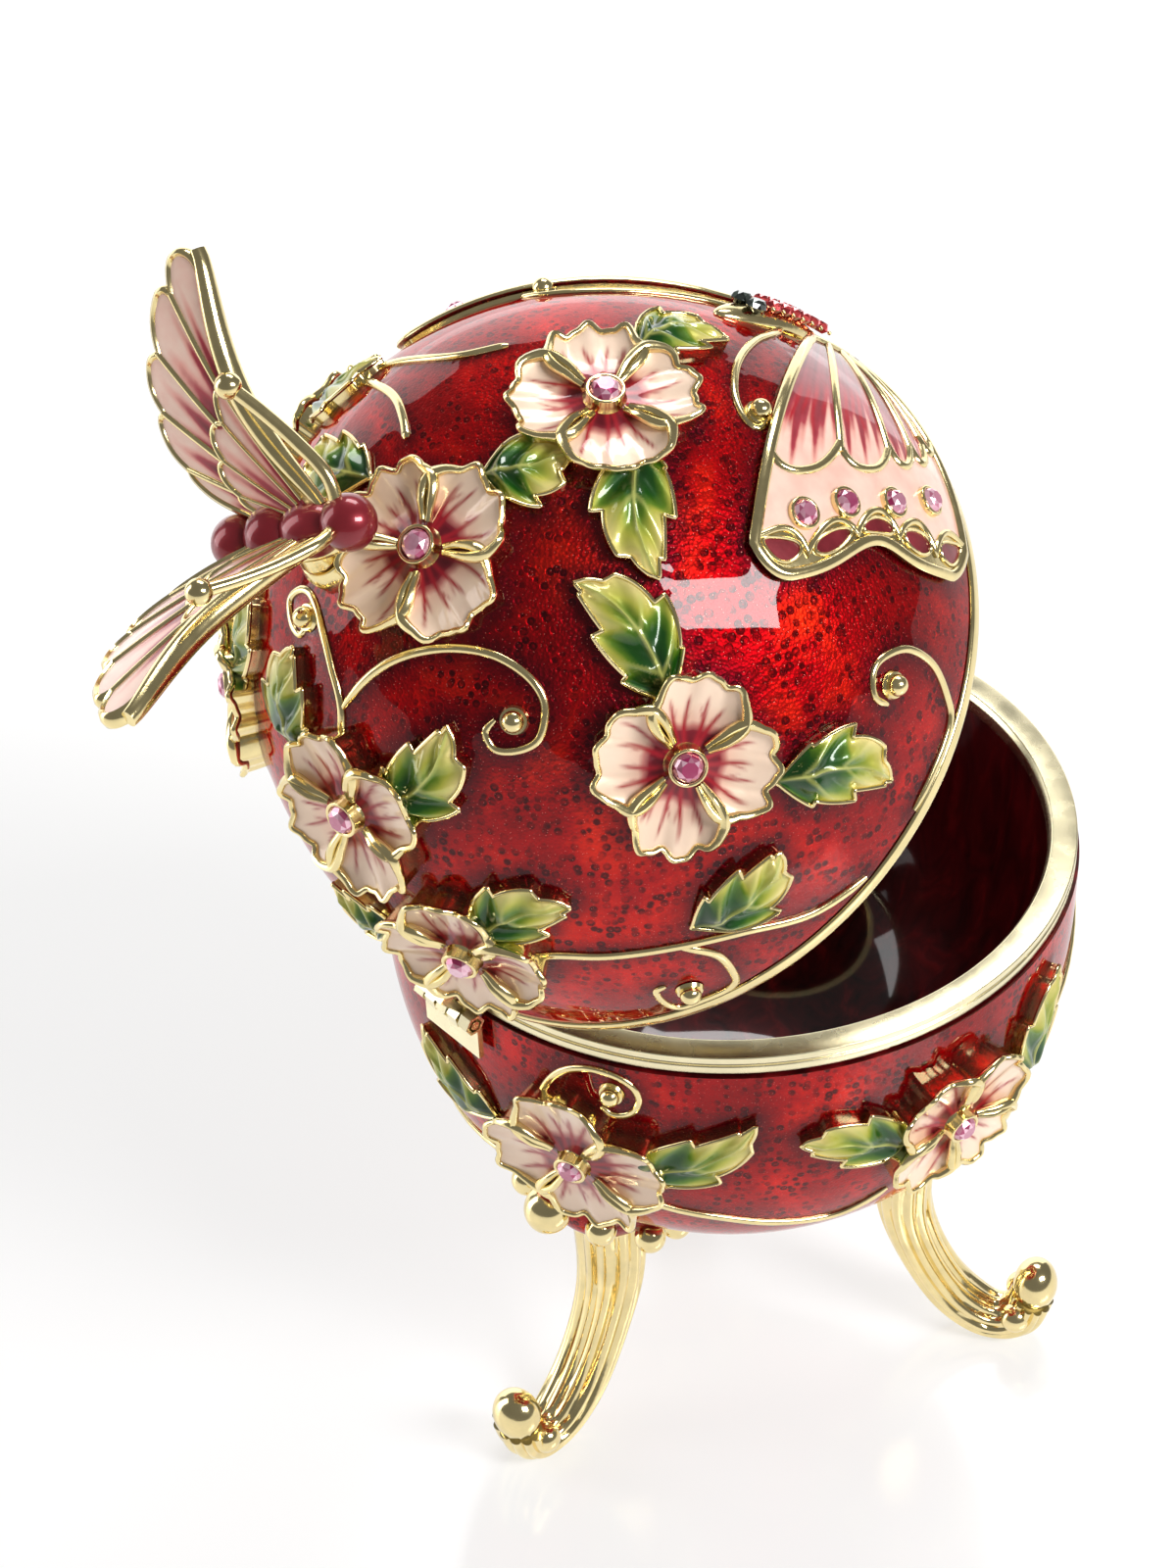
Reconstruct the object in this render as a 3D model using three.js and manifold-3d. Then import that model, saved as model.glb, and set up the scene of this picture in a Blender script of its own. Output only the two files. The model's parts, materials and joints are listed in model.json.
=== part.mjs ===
// Jewelled egg trinket box on three feet, its hinged lid standing open. Millimetres, +Z up.
import * as THREE from "three";
import { mergeVertices } from "three/addons/utils/BufferGeometryUtils.js";
import Module from "manifold-3d";

const wasm = await Module();
wasm.setup();

// Driving dimensions.
const rimHeight = 72.5;
const rimRadius = 36;
const rimWidth = 3;
const rimDepth = 2.4;
const wall = 1.8;
const gap = 0.3;
const lidOpening = 40.4;
const lidForm = { radius: 35.2, height: 41.1, power: 2, side: 1 };
const bowlForm = { radius: 36.3, height: 41.5, power: 3, side: -1 };
const lidBand = { height: 1.5, proud: 0.3 };
const floorRadius = 9;
const shellSides = 28;
const rimSides = 32;
const hinge = { outside: 1.6, below: 2.6, radius: 1.15, bore: 0.8, pin: 0.5, knuckle: 1.4 };
const flower = { radius: 8.6, ruffle: 0.5, cleft: 0.36, rise: 1.7, dish: 0.8, samples: 6 };
const bezelTop = 1.9;
const stone = { radius: 1.25, height: 0.9 };
const leaf = { width: 8.4, teeth: 3, notch: 0.72, rib: 1.5, edge: 0.8 };
const sunk = 0.7;
const feet = { turn: -5, radius: 31.3, top: 20, collarDrop: 5, thick: 2.6, wide: 3.6 };
const collar = {
  reach: 9.2, rise: 2.6, dropReach: 8.4, dropLift: 1.5, drops: [-135, -90, -45, 0, 45, 90, 135],
};

// Where the ornament sits: azimuth from the hinge, turning to +X, and rise from the mouth to the pole.
const lidFlowers = [
  { at: [-81, 36.4], turn: 30 },
  { at: [-156, 57.4], turn: -12 },
  { at: [-74, 81.3], turn: -6 },
  { at: [-12, 46], turn: 22 },
  { at: [-25, 23], turn: -12 },
  { at: [42, 36], turn: 50 },
  { at: [92, 34], turn: -12 },
];
const lidLeaves = [
  { from: [-88, 42.5], to: [-104.5, 59.5] },
  { from: [-87, 24.5], to: [-99, 10.5] },
  { from: [-61, 16.5], to: [-79, 16] },
  { from: [-29.5, 27], to: [-48.5, 31.5] },
  { from: [-143, 54.5], to: [-107.5, 53.5] },
  { from: [-170, 48.5], to: [-170.5, 35] },
  { from: [-141, 76.5], to: [-137, 64.5] },
  { from: [104, 82.5], to: [90, 66.5] },
  { from: [-21, 48], to: [-48, 56] },
  { from: [4, 50], to: [20, 63] },
  { from: [37, 42], to: [49, 57] },
  { from: [-12, 24.5], to: [1, 26] },
  { from: [98, 44], to: [118, 55.4] },
  { from: [98, 24.4], to: [110, 10.2] },
];
const bowlFlowers = [
  { at: [-22, 20.5], turn: 10 },
  { at: [-85, 18.5], turn: 40 },
  { at: [130, 20], turn: 0 },
];
const bowlLeaves = [
  { from: [-28.5, 19], to: [-52, 10] },
  { from: [-7, 20], to: [10.5, 12.5] },
  { from: [-78, 19], to: [-58.5, 11] },
  { from: [-101, 23], to: [-108, 4] },
  { from: [136, 19], to: [158, 10] },
  { from: [124, 19], to: [102, 10] },
];
const wing = { inner: 5, lower: 49, upper: 64, low: 3, rootTop: 13, top: 40, raise: 0.9, scallops: 5 };
const wingStones = [[-129, 33.5], [-133, 27], [-136, 18.5], [-139.5, 10.5]];
const finial = { at: [28, 78], heading: -123.5, lift: 6.4, seat: 2.2, seatRadius: 2.8, post: 1.7 };

const rad = THREE.MathUtils.degToRad;
const finishes = {
  enamel: { color: 0x8e0a12, roughness: 0.18, metalness: 0.35 },
  gold: { color: 0xe0c268, roughness: 0.2, metalness: 1 },
  pinkStone: { color: 0xf08ab8, roughness: 0.05, metalness: 0.1 },
  redStone: { color: 0xb0101c, roughness: 0.05, metalness: 0.1 },
  rose: { color: 0xb44a56, roughness: 0.2, metalness: 0.3 },
};

function solidOf(geometry) {
  const bare = geometry.index ? geometry.toNonIndexed() : geometry.clone();
  for (const name of Object.keys(bare.attributes)) {
    if (name !== "position") bare.deleteAttribute(name);
  }
  const merged = mergeVertices(bare, 1e-4);
  const triangles = [];
  const index = merged.index.array;
  for (let i = 0; i < index.length; i += 3) {
    const [a, b, c] = [index[i], index[i + 1], index[i + 2]];
    if (a !== b && b !== c && c !== a) triangles.push(a, b, c);
  }
  const make = (list) => new wasm.Manifold(new wasm.Mesh({
    numProp: 3,
    vertProperties: new Float32Array(merged.attributes.position.array),
    triVerts: new Uint32Array(list),
  }));
  const solid = make(triangles);
  return solid.volume() > 0 ? solid : make(triangles.reverse());
}

function fuse(solids) {
  return solids.reduce((whole, next) => whole.add(next));
}

function meshOf(name, solid, finish) {
  const { vertProperties, triVerts } = solid.getMesh();
  const geometry = new THREE.BufferGeometry();
  geometry.setAttribute("position", new THREE.BufferAttribute(vertProperties, 3));
  geometry.setIndex(new THREE.BufferAttribute(triVerts, 1));
  geometry.computeVertexNormals();
  const mesh = new THREE.Mesh(geometry, new THREE.MeshStandardMaterial(finishes[finish]));
  mesh.name = name;
  return mesh;
}

// Both shells are turned forms: a mouth at z = 0 and one pole, up for the lid and down for the bowl.
function radiusAt(form, height) {
  return form.radius * Math.sqrt(Math.max(0, 1 - (height / form.height) ** form.power));
}

function onForm(form, toward) {
  const across = Math.hypot(toward.x, toward.y) / form.radius;
  const along = Math.abs(toward.z) / form.height;
  let low = 0;
  let high = 2 / Math.max(across, along);
  for (let step = 0; step < 40; step += 1) {
    const middle = (low + high) / 2;
    const inside = (middle * across) ** 2 + (middle * along) ** form.power < 1;
    if (inside) low = middle;
    else high = middle;
  }
  const point = toward.clone().multiplyScalar(low);
  const slope = form.power * Math.abs(point.z) ** (form.power - 1) / form.height ** form.power;
  const normal = new THREE.Vector3(
    2 * point.x / form.radius ** 2,
    2 * point.y / form.radius ** 2,
    form.side * slope,
  ).normalize();
  return { point, normal };
}

function seatAt(form, [azimuth, rise]) {
  const height = form.height * Math.sin(rad(rise));
  const radius = radiusAt(form, height);
  const turn = rad(azimuth);
  const toward = new THREE.Vector3(radius * Math.sin(turn), radius * Math.cos(turn), form.side * height);
  const { point, normal } = onForm(form, toward);
  const right = new THREE.Vector3(-Math.cos(turn), Math.sin(turn), 0);
  const up = new THREE.Vector3().crossVectors(normal, right);
  return { point, normal, right, up };
}

// Flat ornament, drawn with x to the right and y up, is bent on to the form, z standing off it.
function layPoint(form, seat, x, y, z) {
  const flat = seat.point.clone().addScaledVector(seat.right, x).addScaledVector(seat.up, y);
  const { point, normal } = onForm(form, flat);
  return point.addScaledVector(normal, z);
}

function lay(form, seat, geometry) {
  const place = geometry.attributes.position;
  for (let i = 0; i < place.count; i += 1) {
    const laid = layPoint(form, seat, place.getX(i), place.getY(i), place.getZ(i));
    place.setXYZ(i, laid.x, laid.y, laid.z);
  }
  return solidOf(geometry);
}

// The place of one spot on the form, as seen from another, in that one's flat drawing.
function flatFrom(form, seat, target) {
  const aim = seatAt(form, target).point;
  const reach = seat.point.dot(seat.normal) / aim.dot(seat.normal);
  const offset = aim.multiplyScalar(reach).sub(seat.point);
  return new THREE.Vector2(offset.dot(seat.right), offset.dot(seat.up));
}

// A closed body between a top and a bottom that share one rim: rows run from the middle, or a side, out.
function gridBody(rows, closed) {
  const places = [];
  const count = rows[0].length;
  const quad = (a, b, c, d) => places.push(...a, ...b, ...c, ...a, ...c, ...d);
  for (let r = 0; r + 1 < rows.length; r += 1) {
    for (let i = 0; i < (closed ? count : count - 1); i += 1) {
      const j = (i + 1) % count;
      quad(rows[r][i], rows[r + 1][i], rows[r + 1][j], rows[r][j]);
    }
  }
  const geometry = new THREE.BufferGeometry();
  geometry.setAttribute("position", new THREE.Float32BufferAttribute(places, 3));
  return geometry;
}

function flowerSolid(form, { at, turn }) {
  const count = 4 * flower.samples;
  const outline = [];
  for (let i = 0; i < count; i += 1) {
    const angle = 2 * Math.PI * i / count;
    const lobe = Math.abs(Math.cos(2 * angle)) ** 0.42;
    const ruffle = flower.ruffle * Math.cos(12 * angle + 1);
    const reach = flower.radius * (flower.cleft + (1 - flower.cleft) * lobe) + ruffle * lobe;
    outline.push({ angle: angle + rad(turn), reach, lobe });
  }
  const ring = (share, heightOf) => outline.map((spot) => [
    share * spot.reach * Math.cos(spot.angle),
    share * spot.reach * Math.sin(spot.angle),
    heightOf(spot),
  ]);
  const rows = [
    ring(0, () => bezelTop),
    ring(0.45, () => flower.dish),
    ring(1, ({ lobe }) => flower.rise * (0.5 + 0.5 * lobe)),
    ring(1, () => -sunk),
    ring(0, () => -sunk),
  ];
  return lay(form, seatAt(form, at), gridBody(rows, true));
}

function leafSolid(form, { from, to }) {
  const seat = seatAt(form, from);
  const tip = flatFrom(form, seat, to);
  const length = tip.length();
  const turn = Math.atan2(tip.y, tip.x);
  const count = 2 * leaf.teeth;
  const left = [];
  const rib = [];
  const right = [];
  const spot = (along, across, height) => [
    along * Math.cos(turn) - across * Math.sin(turn),
    along * Math.sin(turn) + across * Math.cos(turn),
    height,
  ];
  for (let i = 0; i <= count; i += 1) {
    const share = i / count;
    const swell = Math.sin(Math.PI * share ** 0.75) ** 0.8;
    const cut = i % 2 ? 1 : leaf.notch;
    const half = Math.max(0.25, leaf.width / 2 * swell * cut);
    const lead = i % 2 ? length * 0.05 : 0;
    left.push([share * length + lead, half]);
    rib.push([share * length, 0]);
    right.push([share * length + lead, -half]);
  }
  const row = (line, height) => line.map(([along, across]) => spot(along, across, height));
  const rows = [
    row(left, leaf.edge), row(left, -sunk), row(rib, -sunk), row(right, -sunk),
    row(right, leaf.edge), row(rib, leaf.rib),
  ];
  const shell = gridBody([...rows, rows[0]], false);
  const ends = [0, count].map((i) => rows.map((line) => line[i]));
  const caps = ends.flatMap((loop, side) => {
    const order = side ? loop : [...loop].reverse();
    return [1, 2, 3, 4].flatMap((k) => [...order[0], ...order[k], ...order[k + 1]]);
  });
  const places = [...shell.attributes.position.array, ...caps];
  const body = new THREE.BufferGeometry();
  body.setAttribute("position", new THREE.Float32BufferAttribute(places, 3));
  return lay(form, seat, body);
}

function ballSolid(radius, at) {
  const ball = new THREE.IcosahedronGeometry(radius, 0);
  ball.translate(at.x, at.y, at.z);
  return solidOf(ball);
}

function roundShape(radius, sides) {
  const shape = new THREE.Shape();
  for (let i = 0; i < sides; i += 1) {
    const angle = 2 * Math.PI * (i + 0.5) / sides;
    const spot = [radius * Math.cos(angle), radius * Math.sin(angle)];
    if (i) shape.lineTo(...spot);
    else shape.moveTo(...spot);
  }
  return shape;
}

function rodAlong(points, radius, sides, steps) {
  const along = { extrudePath: new THREE.CatmullRomCurve3(points), steps, curveSegments: 1 };
  return solidOf(new THREE.ExtrudeGeometry(roundShape(radius, sides), along));
}

// One spread wing of the butterfly in relief on the lid's front; hand is 1 or -1.
function wingPoint(out, up, height, hand) {
  const lower = wing.inner + (wing.lower - wing.inner) * out;
  const upper = wing.inner + (wing.upper - wing.inner) * out;
  const crest = wing.rootTop + (wing.top - wing.rootTop) * (1 - (1 - out) ** 2.6);
  const scallop = 2 * Math.abs(Math.sin(wing.scallops * Math.PI * up)) * out ** 4;
  const azimuth = 180 - hand * (lower + (upper - lower) * up ** 1.6 + scallop);
  const { point, normal } = seatAt(lidForm, [azimuth, wing.low + (crest - wing.low) * up]);
  return point.addScaledVector(normal, height);
}

function wingSolid(hand) {
  const across = 4;
  const tall = 2 * wing.scallops;
  const sheet = (height) => Array.from({ length: tall + 1 }, (_, v) =>
    Array.from({ length: across + 1 }, (_, u) => wingPoint(u / across, v / tall, height, hand).toArray()));
  const top = sheet(wing.raise);
  const bottom = sheet(-sunk);
  const places = [];
  const quad = (a, b, c, d) => places.push(...a, ...b, ...c, ...a, ...c, ...d);
  for (let v = 0; v < tall; v += 1) {
    for (let u = 0; u < across; u += 1) {
      quad(top[v][u], top[v][u + 1], top[v + 1][u + 1], top[v + 1][u]);
      quad(bottom[v][u], bottom[v + 1][u], bottom[v + 1][u + 1], bottom[v][u + 1]);
    }
    quad(bottom[v][0], top[v][0], top[v + 1][0], bottom[v + 1][0]);
    quad(top[v][across], bottom[v][across], bottom[v + 1][across], top[v + 1][across]);
  }
  for (let u = 0; u < across; u += 1) {
    quad(bottom[0][u], bottom[0][u + 1], top[0][u + 1], top[0][u]);
    quad(top[tall][u], top[tall][u + 1], bottom[tall][u + 1], bottom[tall][u]);
  }
  const geometry = new THREE.BufferGeometry();
  geometry.setAttribute("position", new THREE.Float32BufferAttribute(places, 3));
  return solidOf(geometry);
}

// The body between the relief wings, a low ridge that carries the row of small stones.
function ridgeSolid() {
  const seat = seatAt(lidForm, [180, 16.4]);
  const ridge = new THREE.SphereGeometry(1, 8, 6);
  ridge.scale(2.3, 8.5, 1.3);
  return lay(lidForm, seat, ridge);
}

// The low round seat that the standing butterfly is fixed to.
function perchSolid() {
  const { point } = seatAt(lidForm, finial.at);
  const tall = finial.seat + wall / 2;
  const seat = new THREE.CylinderGeometry(finial.seatRadius, finial.seatRadius, tall, 10);
  seat.rotateX(Math.PI / 2).translate(point.x, point.y, point.z + finial.seat - tall / 2);
  return solidOf(seat);
}

// The outside of a shell, filled up to its mouth.
function bodySolid(form) {
  const points = [new THREE.Vector2(0, 0)];
  const rings = 7;
  for (let i = 0; i <= rings; i += 1) {
    const height = form.height * Math.sin(Math.PI / 2 * i / rings);
    points.push(new THREE.Vector2(i === rings ? 0 : radiusAt(form, height), form.side * height));
  }
  return solidOf(new THREE.LatheGeometry(points, shellSides).rotateX(Math.PI / 2));
}

// What is cut out of it, from just over the mouth, with a round flat floor where one is asked for.
function hollowSolid(form, floor) {
  const inner = { ...form, radius: form.radius - wall, height: form.height - wall };
  const depth = inner.height * (1 - (floor / inner.radius) ** 2) ** (1 / form.power);
  const rings = 4;
  const over = -form.side * wall;
  const points = [new THREE.Vector2(0, over), new THREE.Vector2(inner.radius, over)];
  for (let i = 0; i < rings; i += 1) {
    const height = inner.height * Math.sin(Math.PI / 2 * i / rings);
    points.push(new THREE.Vector2(radiusAt(inner, height), form.side * height));
  }
  if (floor) points.push(new THREE.Vector2(floor, form.side * depth));
  points.push(new THREE.Vector2(0, form.side * depth));
  return solidOf(new THREE.LatheGeometry(points, shellSides).rotateX(Math.PI / 2));
}

function turnedRing(outline, sides) {
  const points = [...outline, outline[0]].map(([radius, height]) => new THREE.Vector2(radius, height));
  return solidOf(new THREE.LatheGeometry(points, sides).rotateX(Math.PI / 2));
}

// The collar that a foot hangs from: a low boss under the bowl with a ring of drops.
function collarDepth() {
  return bowlForm.height * (1 - (feet.top / bowlForm.radius) ** 2) ** (1 / bowlForm.power);
}

function collarSolid(azimuth) {
  const turn = rad(azimuth);
  const depth = collarDepth();
  const centre = new THREE.Vector3(feet.top * Math.sin(turn), feet.top * Math.cos(turn), 1 - depth);
  const boss = new THREE.SphereGeometry(1, 8, 4);
  boss.rotateX(Math.PI / 2).scale(7.2, 7.2, feet.collarDrop + 1).translate(...centre.toArray());
  const seat = seatAt(bowlForm, [azimuth, THREE.MathUtils.radToDeg(Math.asin(depth / bowlForm.height))]);
  const skirt = new THREE.SphereGeometry(1, 10, 4).rotateX(Math.PI / 2);
  skirt.scale(collar.reach, collar.reach, collar.rise);
  const drops = collar.drops.map((angle) => {
    const size = angle ? 1.9 : 2.6;
    const [x, y] = [collar.dropReach * Math.sin(rad(angle)), collar.dropReach * Math.cos(rad(angle))];
    const at = layPoint(bowlForm, seat, x, y, collar.dropLift);
    return solidOf(new THREE.OctahedronGeometry(size, 0).translate(...at.toArray()));
  });
  return fuse([solidOf(boss), lay(bowlForm, seat, skirt), ...drops]);
}

function bowlSolid() {
  return fuse([
    bodySolid(bowlForm),
    ...bowlFlowers.map((item) => flowerSolid(bowlForm, item)),
    ...bowlLeaves.map((item) => leafSolid(bowlForm, item)),
    ...footTurns.map(collarSolid),
  ]).subtract(hollowSolid(bowlForm, floorRadius));
}

function lidSolid() {
  return fuse([
    bodySolid(lidForm),
    ...lidFlowers.map((item) => flowerSolid(lidForm, item)),
    ...lidLeaves.map((item) => leafSolid(lidForm, item)),
    wingSolid(1),
    wingSolid(-1),
    ridgeSolid(),
    perchSolid(),
  ]).subtract(hollowSolid(lidForm, 0));
}

// A foot: a reeded stem that drops from the collar, sweeps out and curls up into three round toes.
function footSolid() {
  const top = rimHeight - rimDepth - collarDepth() - feet.collarDrop - gap;
  const spine = [
    [feet.top, top], [feet.top, 20], [feet.top + 1.8, 13], [feet.top + 5.2, 6.6],
    [feet.radius - 2.2, 2.3], [feet.radius + 0.8, 1.3], [feet.radius + 3, 3.4], [feet.radius + 4, 6.8],
  ].map(([out, height]) => new THREE.Vector3(0, out, height));
  const section = new THREE.Shape();
  const sides = 10;
  for (let i = 0; i < sides; i += 1) {
    const angle = 2 * Math.PI * i / sides;
    const reed = i % 2 ? 1 : 0.9;
    const spot = [feet.thick * reed * Math.cos(angle), feet.wide * reed * Math.sin(angle)];
    if (i) section.lineTo(...spot);
    else section.moveTo(...spot);
  }
  const extrudePath = new THREE.CatmullRomCurve3(spine);
  const stem = solidOf(new THREE.ExtrudeGeometry(section, { extrudePath, steps: 8, curveSegments: 1 }));
  const toe = new THREE.SphereGeometry(1, 8, 5);
  toe.scale(2.9, 2.5, 3.3).translate(0, feet.radius + 4.4, 8.3);
  const sideToes = [-1, 1].map((hand) =>
    ballSolid(1.7, new THREE.Vector3(hand * 2.5, feet.radius + 2.4, 4.8)));
  const ground = new THREE.BoxGeometry(40, 200, 60).translate(0, 0, 30);
  return fuse([stem, solidOf(toe), ...sideToes]).intersect(solidOf(ground));
}

function knuckleSolid(slot) {
  const half = hinge.knuckle / 2;
  const { bore, radius } = hinge;
  const ring = turnedRing([[bore, -half], [radius, -half], [radius, half], [bore, half]], 6);
  return ring.rotate([0, 90, 0]).translate([slot * (hinge.knuckle + gap), 0, 0]);
}

function plate(width, from, to, x = 0) {
  const box = new THREE.BoxGeometry(width, to[0] - from[0], to[1] - from[1]);
  box.translate(x, (from[0] + to[0]) / 2, (from[1] + to[1]) / 2);
  return solidOf(box);
}

// Both leaves are drawn about the hinge's axis, the lid shut.
function bowlLeafSolid() {
  const slots = [-2, 0, 2];
  const width = 5 * hinge.knuckle + 4 * gap;
  const webs = slots.map((slot) =>
    plate(hinge.knuckle, [-0.8, -3.2], [-0.2, -0.9], slot * (hinge.knuckle + gap)));
  return fuse([...slots.map(knuckleSolid), ...webs, plate(width, [-0.8, -4.6], [-0.2, -2.2])]);
}

function lidLeafSolid() {
  const slots = [-1, 1];
  const width = 3 * hinge.knuckle + 2 * gap;
  const webs = slots.map((slot) =>
    plate(hinge.knuckle, [-0.9, 0.9], [-0.2, 4.2], slot * (hinge.knuckle + gap)));
  return fuse([...slots.map(knuckleSolid), ...webs, plate(width, [-1.7, 3.2], [-0.2, 4.4])]);
}

function stoneSolid(radius = stone.radius) {
  const cut = new THREE.CylinderGeometry(radius * 0.6, radius, stone.height, 6);
  return solidOf(cut.rotateX(Math.PI / 2).translate(0, 0, stone.height / 2));
}

function stoneOn(form, spot, standOff) {
  const { point, normal } = seatAt(form, spot);
  const turn = new THREE.Quaternion().setFromUnitVectors(new THREE.Vector3(0, 0, 1), normal);
  const place = new THREE.Matrix4().compose(
    point.addScaledVector(normal, standOff),
    turn,
    new THREE.Vector3(1, 1, 1),
  );
  return stoneSolid().transform(place.toArray());
}

// The small stones down the relief butterfly's body, set edge to edge in two rows, with two at the head.
function bodyStones() {
  const stones = [];
  const seat = seatAt(lidForm, [180, 16.4]);
  for (let i = 0; i < 6; i += 1) {
    for (const hand of [-1, 1]) {
      const at = layPoint(lidForm, seat, hand * 0.8, -5.6 + 1.5 * i, 2.6);
      const cut = new THREE.OctahedronGeometry(1.15, 0);
      stones.push(solidOf(cut.translate(at.x, at.y, at.z)));
    }
  }
  return fuse(stones);
}

// The butterfly that stands over the lid: drawn with its head to +Y, its back up.
function finialSolid() {
  const body = [
    { at: [0, 6.2, 0.2], size: [2.1, 2.1, 2.1] },
    { at: [0, 1.6, 0], size: [2.3, 3.1, 2.3] },
    { at: [0, -4.2, -0.6], size: [2.1, 4.2, 2.1] },
  ].map(({ at, size }) => solidOf(new THREE.SphereGeometry(1, 7, 5).scale(...size).translate(...at)));
  const drop = finial.lift - finial.seat - gap;
  const post = new THREE.CylinderGeometry(finial.post, finial.post * 1.4, drop, 8).rotateX(Math.PI / 2);
  post.translate(0, 0, -drop / 2);
  const outline = [
    [0, -1.2], [9.3, 1.6], [14, 1.2], [19, -0.6], [24.2, -2], [25, 0.6], [23.7, 3], [21.3, 5.6],
    [16.5, 8.6], [13.7, 9.2], [10, 9.6], [6.1, 8.1], [2.4, 5.4], [0, 2.4],
  ];
  const shape = new THREE.Shape(outline.map(([x, y]) => new THREE.Vector2(x, y)));
  const wings = [1, -1].map((hand) => {
    const sheet = new THREE.ExtrudeGeometry(shape, { depth: 1.1, bevelEnabled: false });
    sheet.translate(0, 0, -0.55).rotateZ(rad(19.6)).scale(1, -1, 1);
    sheet.rotateY(rad(-33.5)).translate(1, 2.4, 0.6).scale(hand, 1, 1);
    return solidOf(sheet);
  });
  const feelers = [1, -1].map((hand) => {
    const tip = new THREE.Vector3(hand * 9.3, -0.8, 10.2);
    const bend = [new THREE.Vector3(hand * 0.8, 5.6, 1.4), new THREE.Vector3(hand * 5, 3.6, 5.2)];
    const rod = rodAlong([...bend, tip], 0.55, 4, 4);
    return rod.add(ballSolid(1.15, tip));
  });
  return fuse([...body, solidOf(post), ...wings, ...feelers]);
}

const footTurns = [0, -120, 120].map((step) => feet.turn + step);

const egg = new THREE.Group();

const bowlGroup = new THREE.Group();
bowlGroup.position.z = rimHeight - rimDepth;
bowlGroup.add(meshOf("bowl", bowlSolid(), "enamel"));
bowlFlowers.forEach(({ at }, i) => {
  bowlGroup.add(meshOf(`bowl_flower_stone_${i + 1}`, stoneOn(bowlForm, at, bezelTop + gap), "pinkStone"));
});
const inner = rimRadius - rimWidth;
bowlGroup.add(meshOf("bowl_rim", turnedRing([
  [inner, gap], [rimRadius, gap], [rimRadius, rimDepth], [inner + 0.6, rimDepth], [inner, rimDepth - 0.6],
], rimSides), "gold"));
egg.add(bowlGroup);

footTurns.forEach((azimuth, i) => {
  const foot = meshOf(["foot_back", "foot_left", "foot_right"][i], footSolid(), "gold");
  foot.rotation.z = -rad(azimuth);
  egg.add(foot);
});

const hingeGroup = new THREE.Group();
hingeGroup.position.set(0, rimRadius + hinge.outside, rimHeight - hinge.below);
hingeGroup.add(meshOf("hinge_bowl_leaf", bowlLeafSolid(), "gold"));
const pin = new THREE.CylinderGeometry(hinge.pin, hinge.pin, 5 * hinge.knuckle + 4 * gap, 10);
hingeGroup.add(meshOf("hinge_pin", solidOf(pin.rotateZ(Math.PI / 2)), "gold"));
egg.add(hingeGroup);

const lidTurn = new THREE.Group();
lidTurn.rotation.x = -rad(lidOpening);
hingeGroup.add(lidTurn);
lidTurn.add(meshOf("hinge_lid_leaf", lidLeafSolid(), "gold"));
const lidGroup = new THREE.Group();
lidGroup.position.set(0, -(rimRadius + hinge.outside), hinge.below + gap + lidBand.height + gap);
lidTurn.add(lidGroup);
lidGroup.add(meshOf("lid", lidSolid(), "enamel"));
const bandInner = lidForm.radius - wall - 0.5;
const bandOuter = lidForm.radius + lidBand.proud;
const bandLow = -gap - lidBand.height;
lidGroup.add(meshOf("lid_rim", turnedRing([
  [bandInner, bandLow], [bandOuter, bandLow], [bandOuter, -gap], [bandInner, -gap],
], rimSides), "gold"));
lidFlowers.forEach(({ at }, i) => {
  lidGroup.add(meshOf(`lid_flower_stone_${i + 1}`, stoneOn(lidForm, at, bezelTop + gap), "pinkStone"));
});
wingStones.forEach(([azimuth, rise], i) => {
  for (const [side, hand] of [["left", 1], ["right", -1]]) {
    const solid = stoneOn(lidForm, [hand * azimuth, rise], wing.raise + gap);
    lidGroup.add(meshOf(`wing_stone_${side}_${i + 1}`, solid, "pinkStone"));
  }
});
lidGroup.add(meshOf("butterfly_body_stones", bodyStones(), "redStone"));
const perch = seatAt(lidForm, finial.at);
const butterfly = meshOf("finial_butterfly", finialSolid(), "rose");
butterfly.position.copy(perch.point);
butterfly.position.z += finial.lift;
butterfly.rotation.z = -rad(finial.heading);
lidGroup.add(butterfly);

// The origin is the middle of the whole box's foot, on the surface it stands on.
egg.updateMatrixWorld(true);
const extent = new THREE.Box3().setFromObject(egg, true);
const middle = extent.getCenter(new THREE.Vector3());
egg.position.set(-middle.x, -middle.y, 0);
egg.updateMatrixWorld(true);

export default egg;
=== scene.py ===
import json
import math
import random
import bmesh
import bpy
from mathutils import Matrix, Quaternion, Vector
from mathutils.kdtree import KDTree


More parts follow.
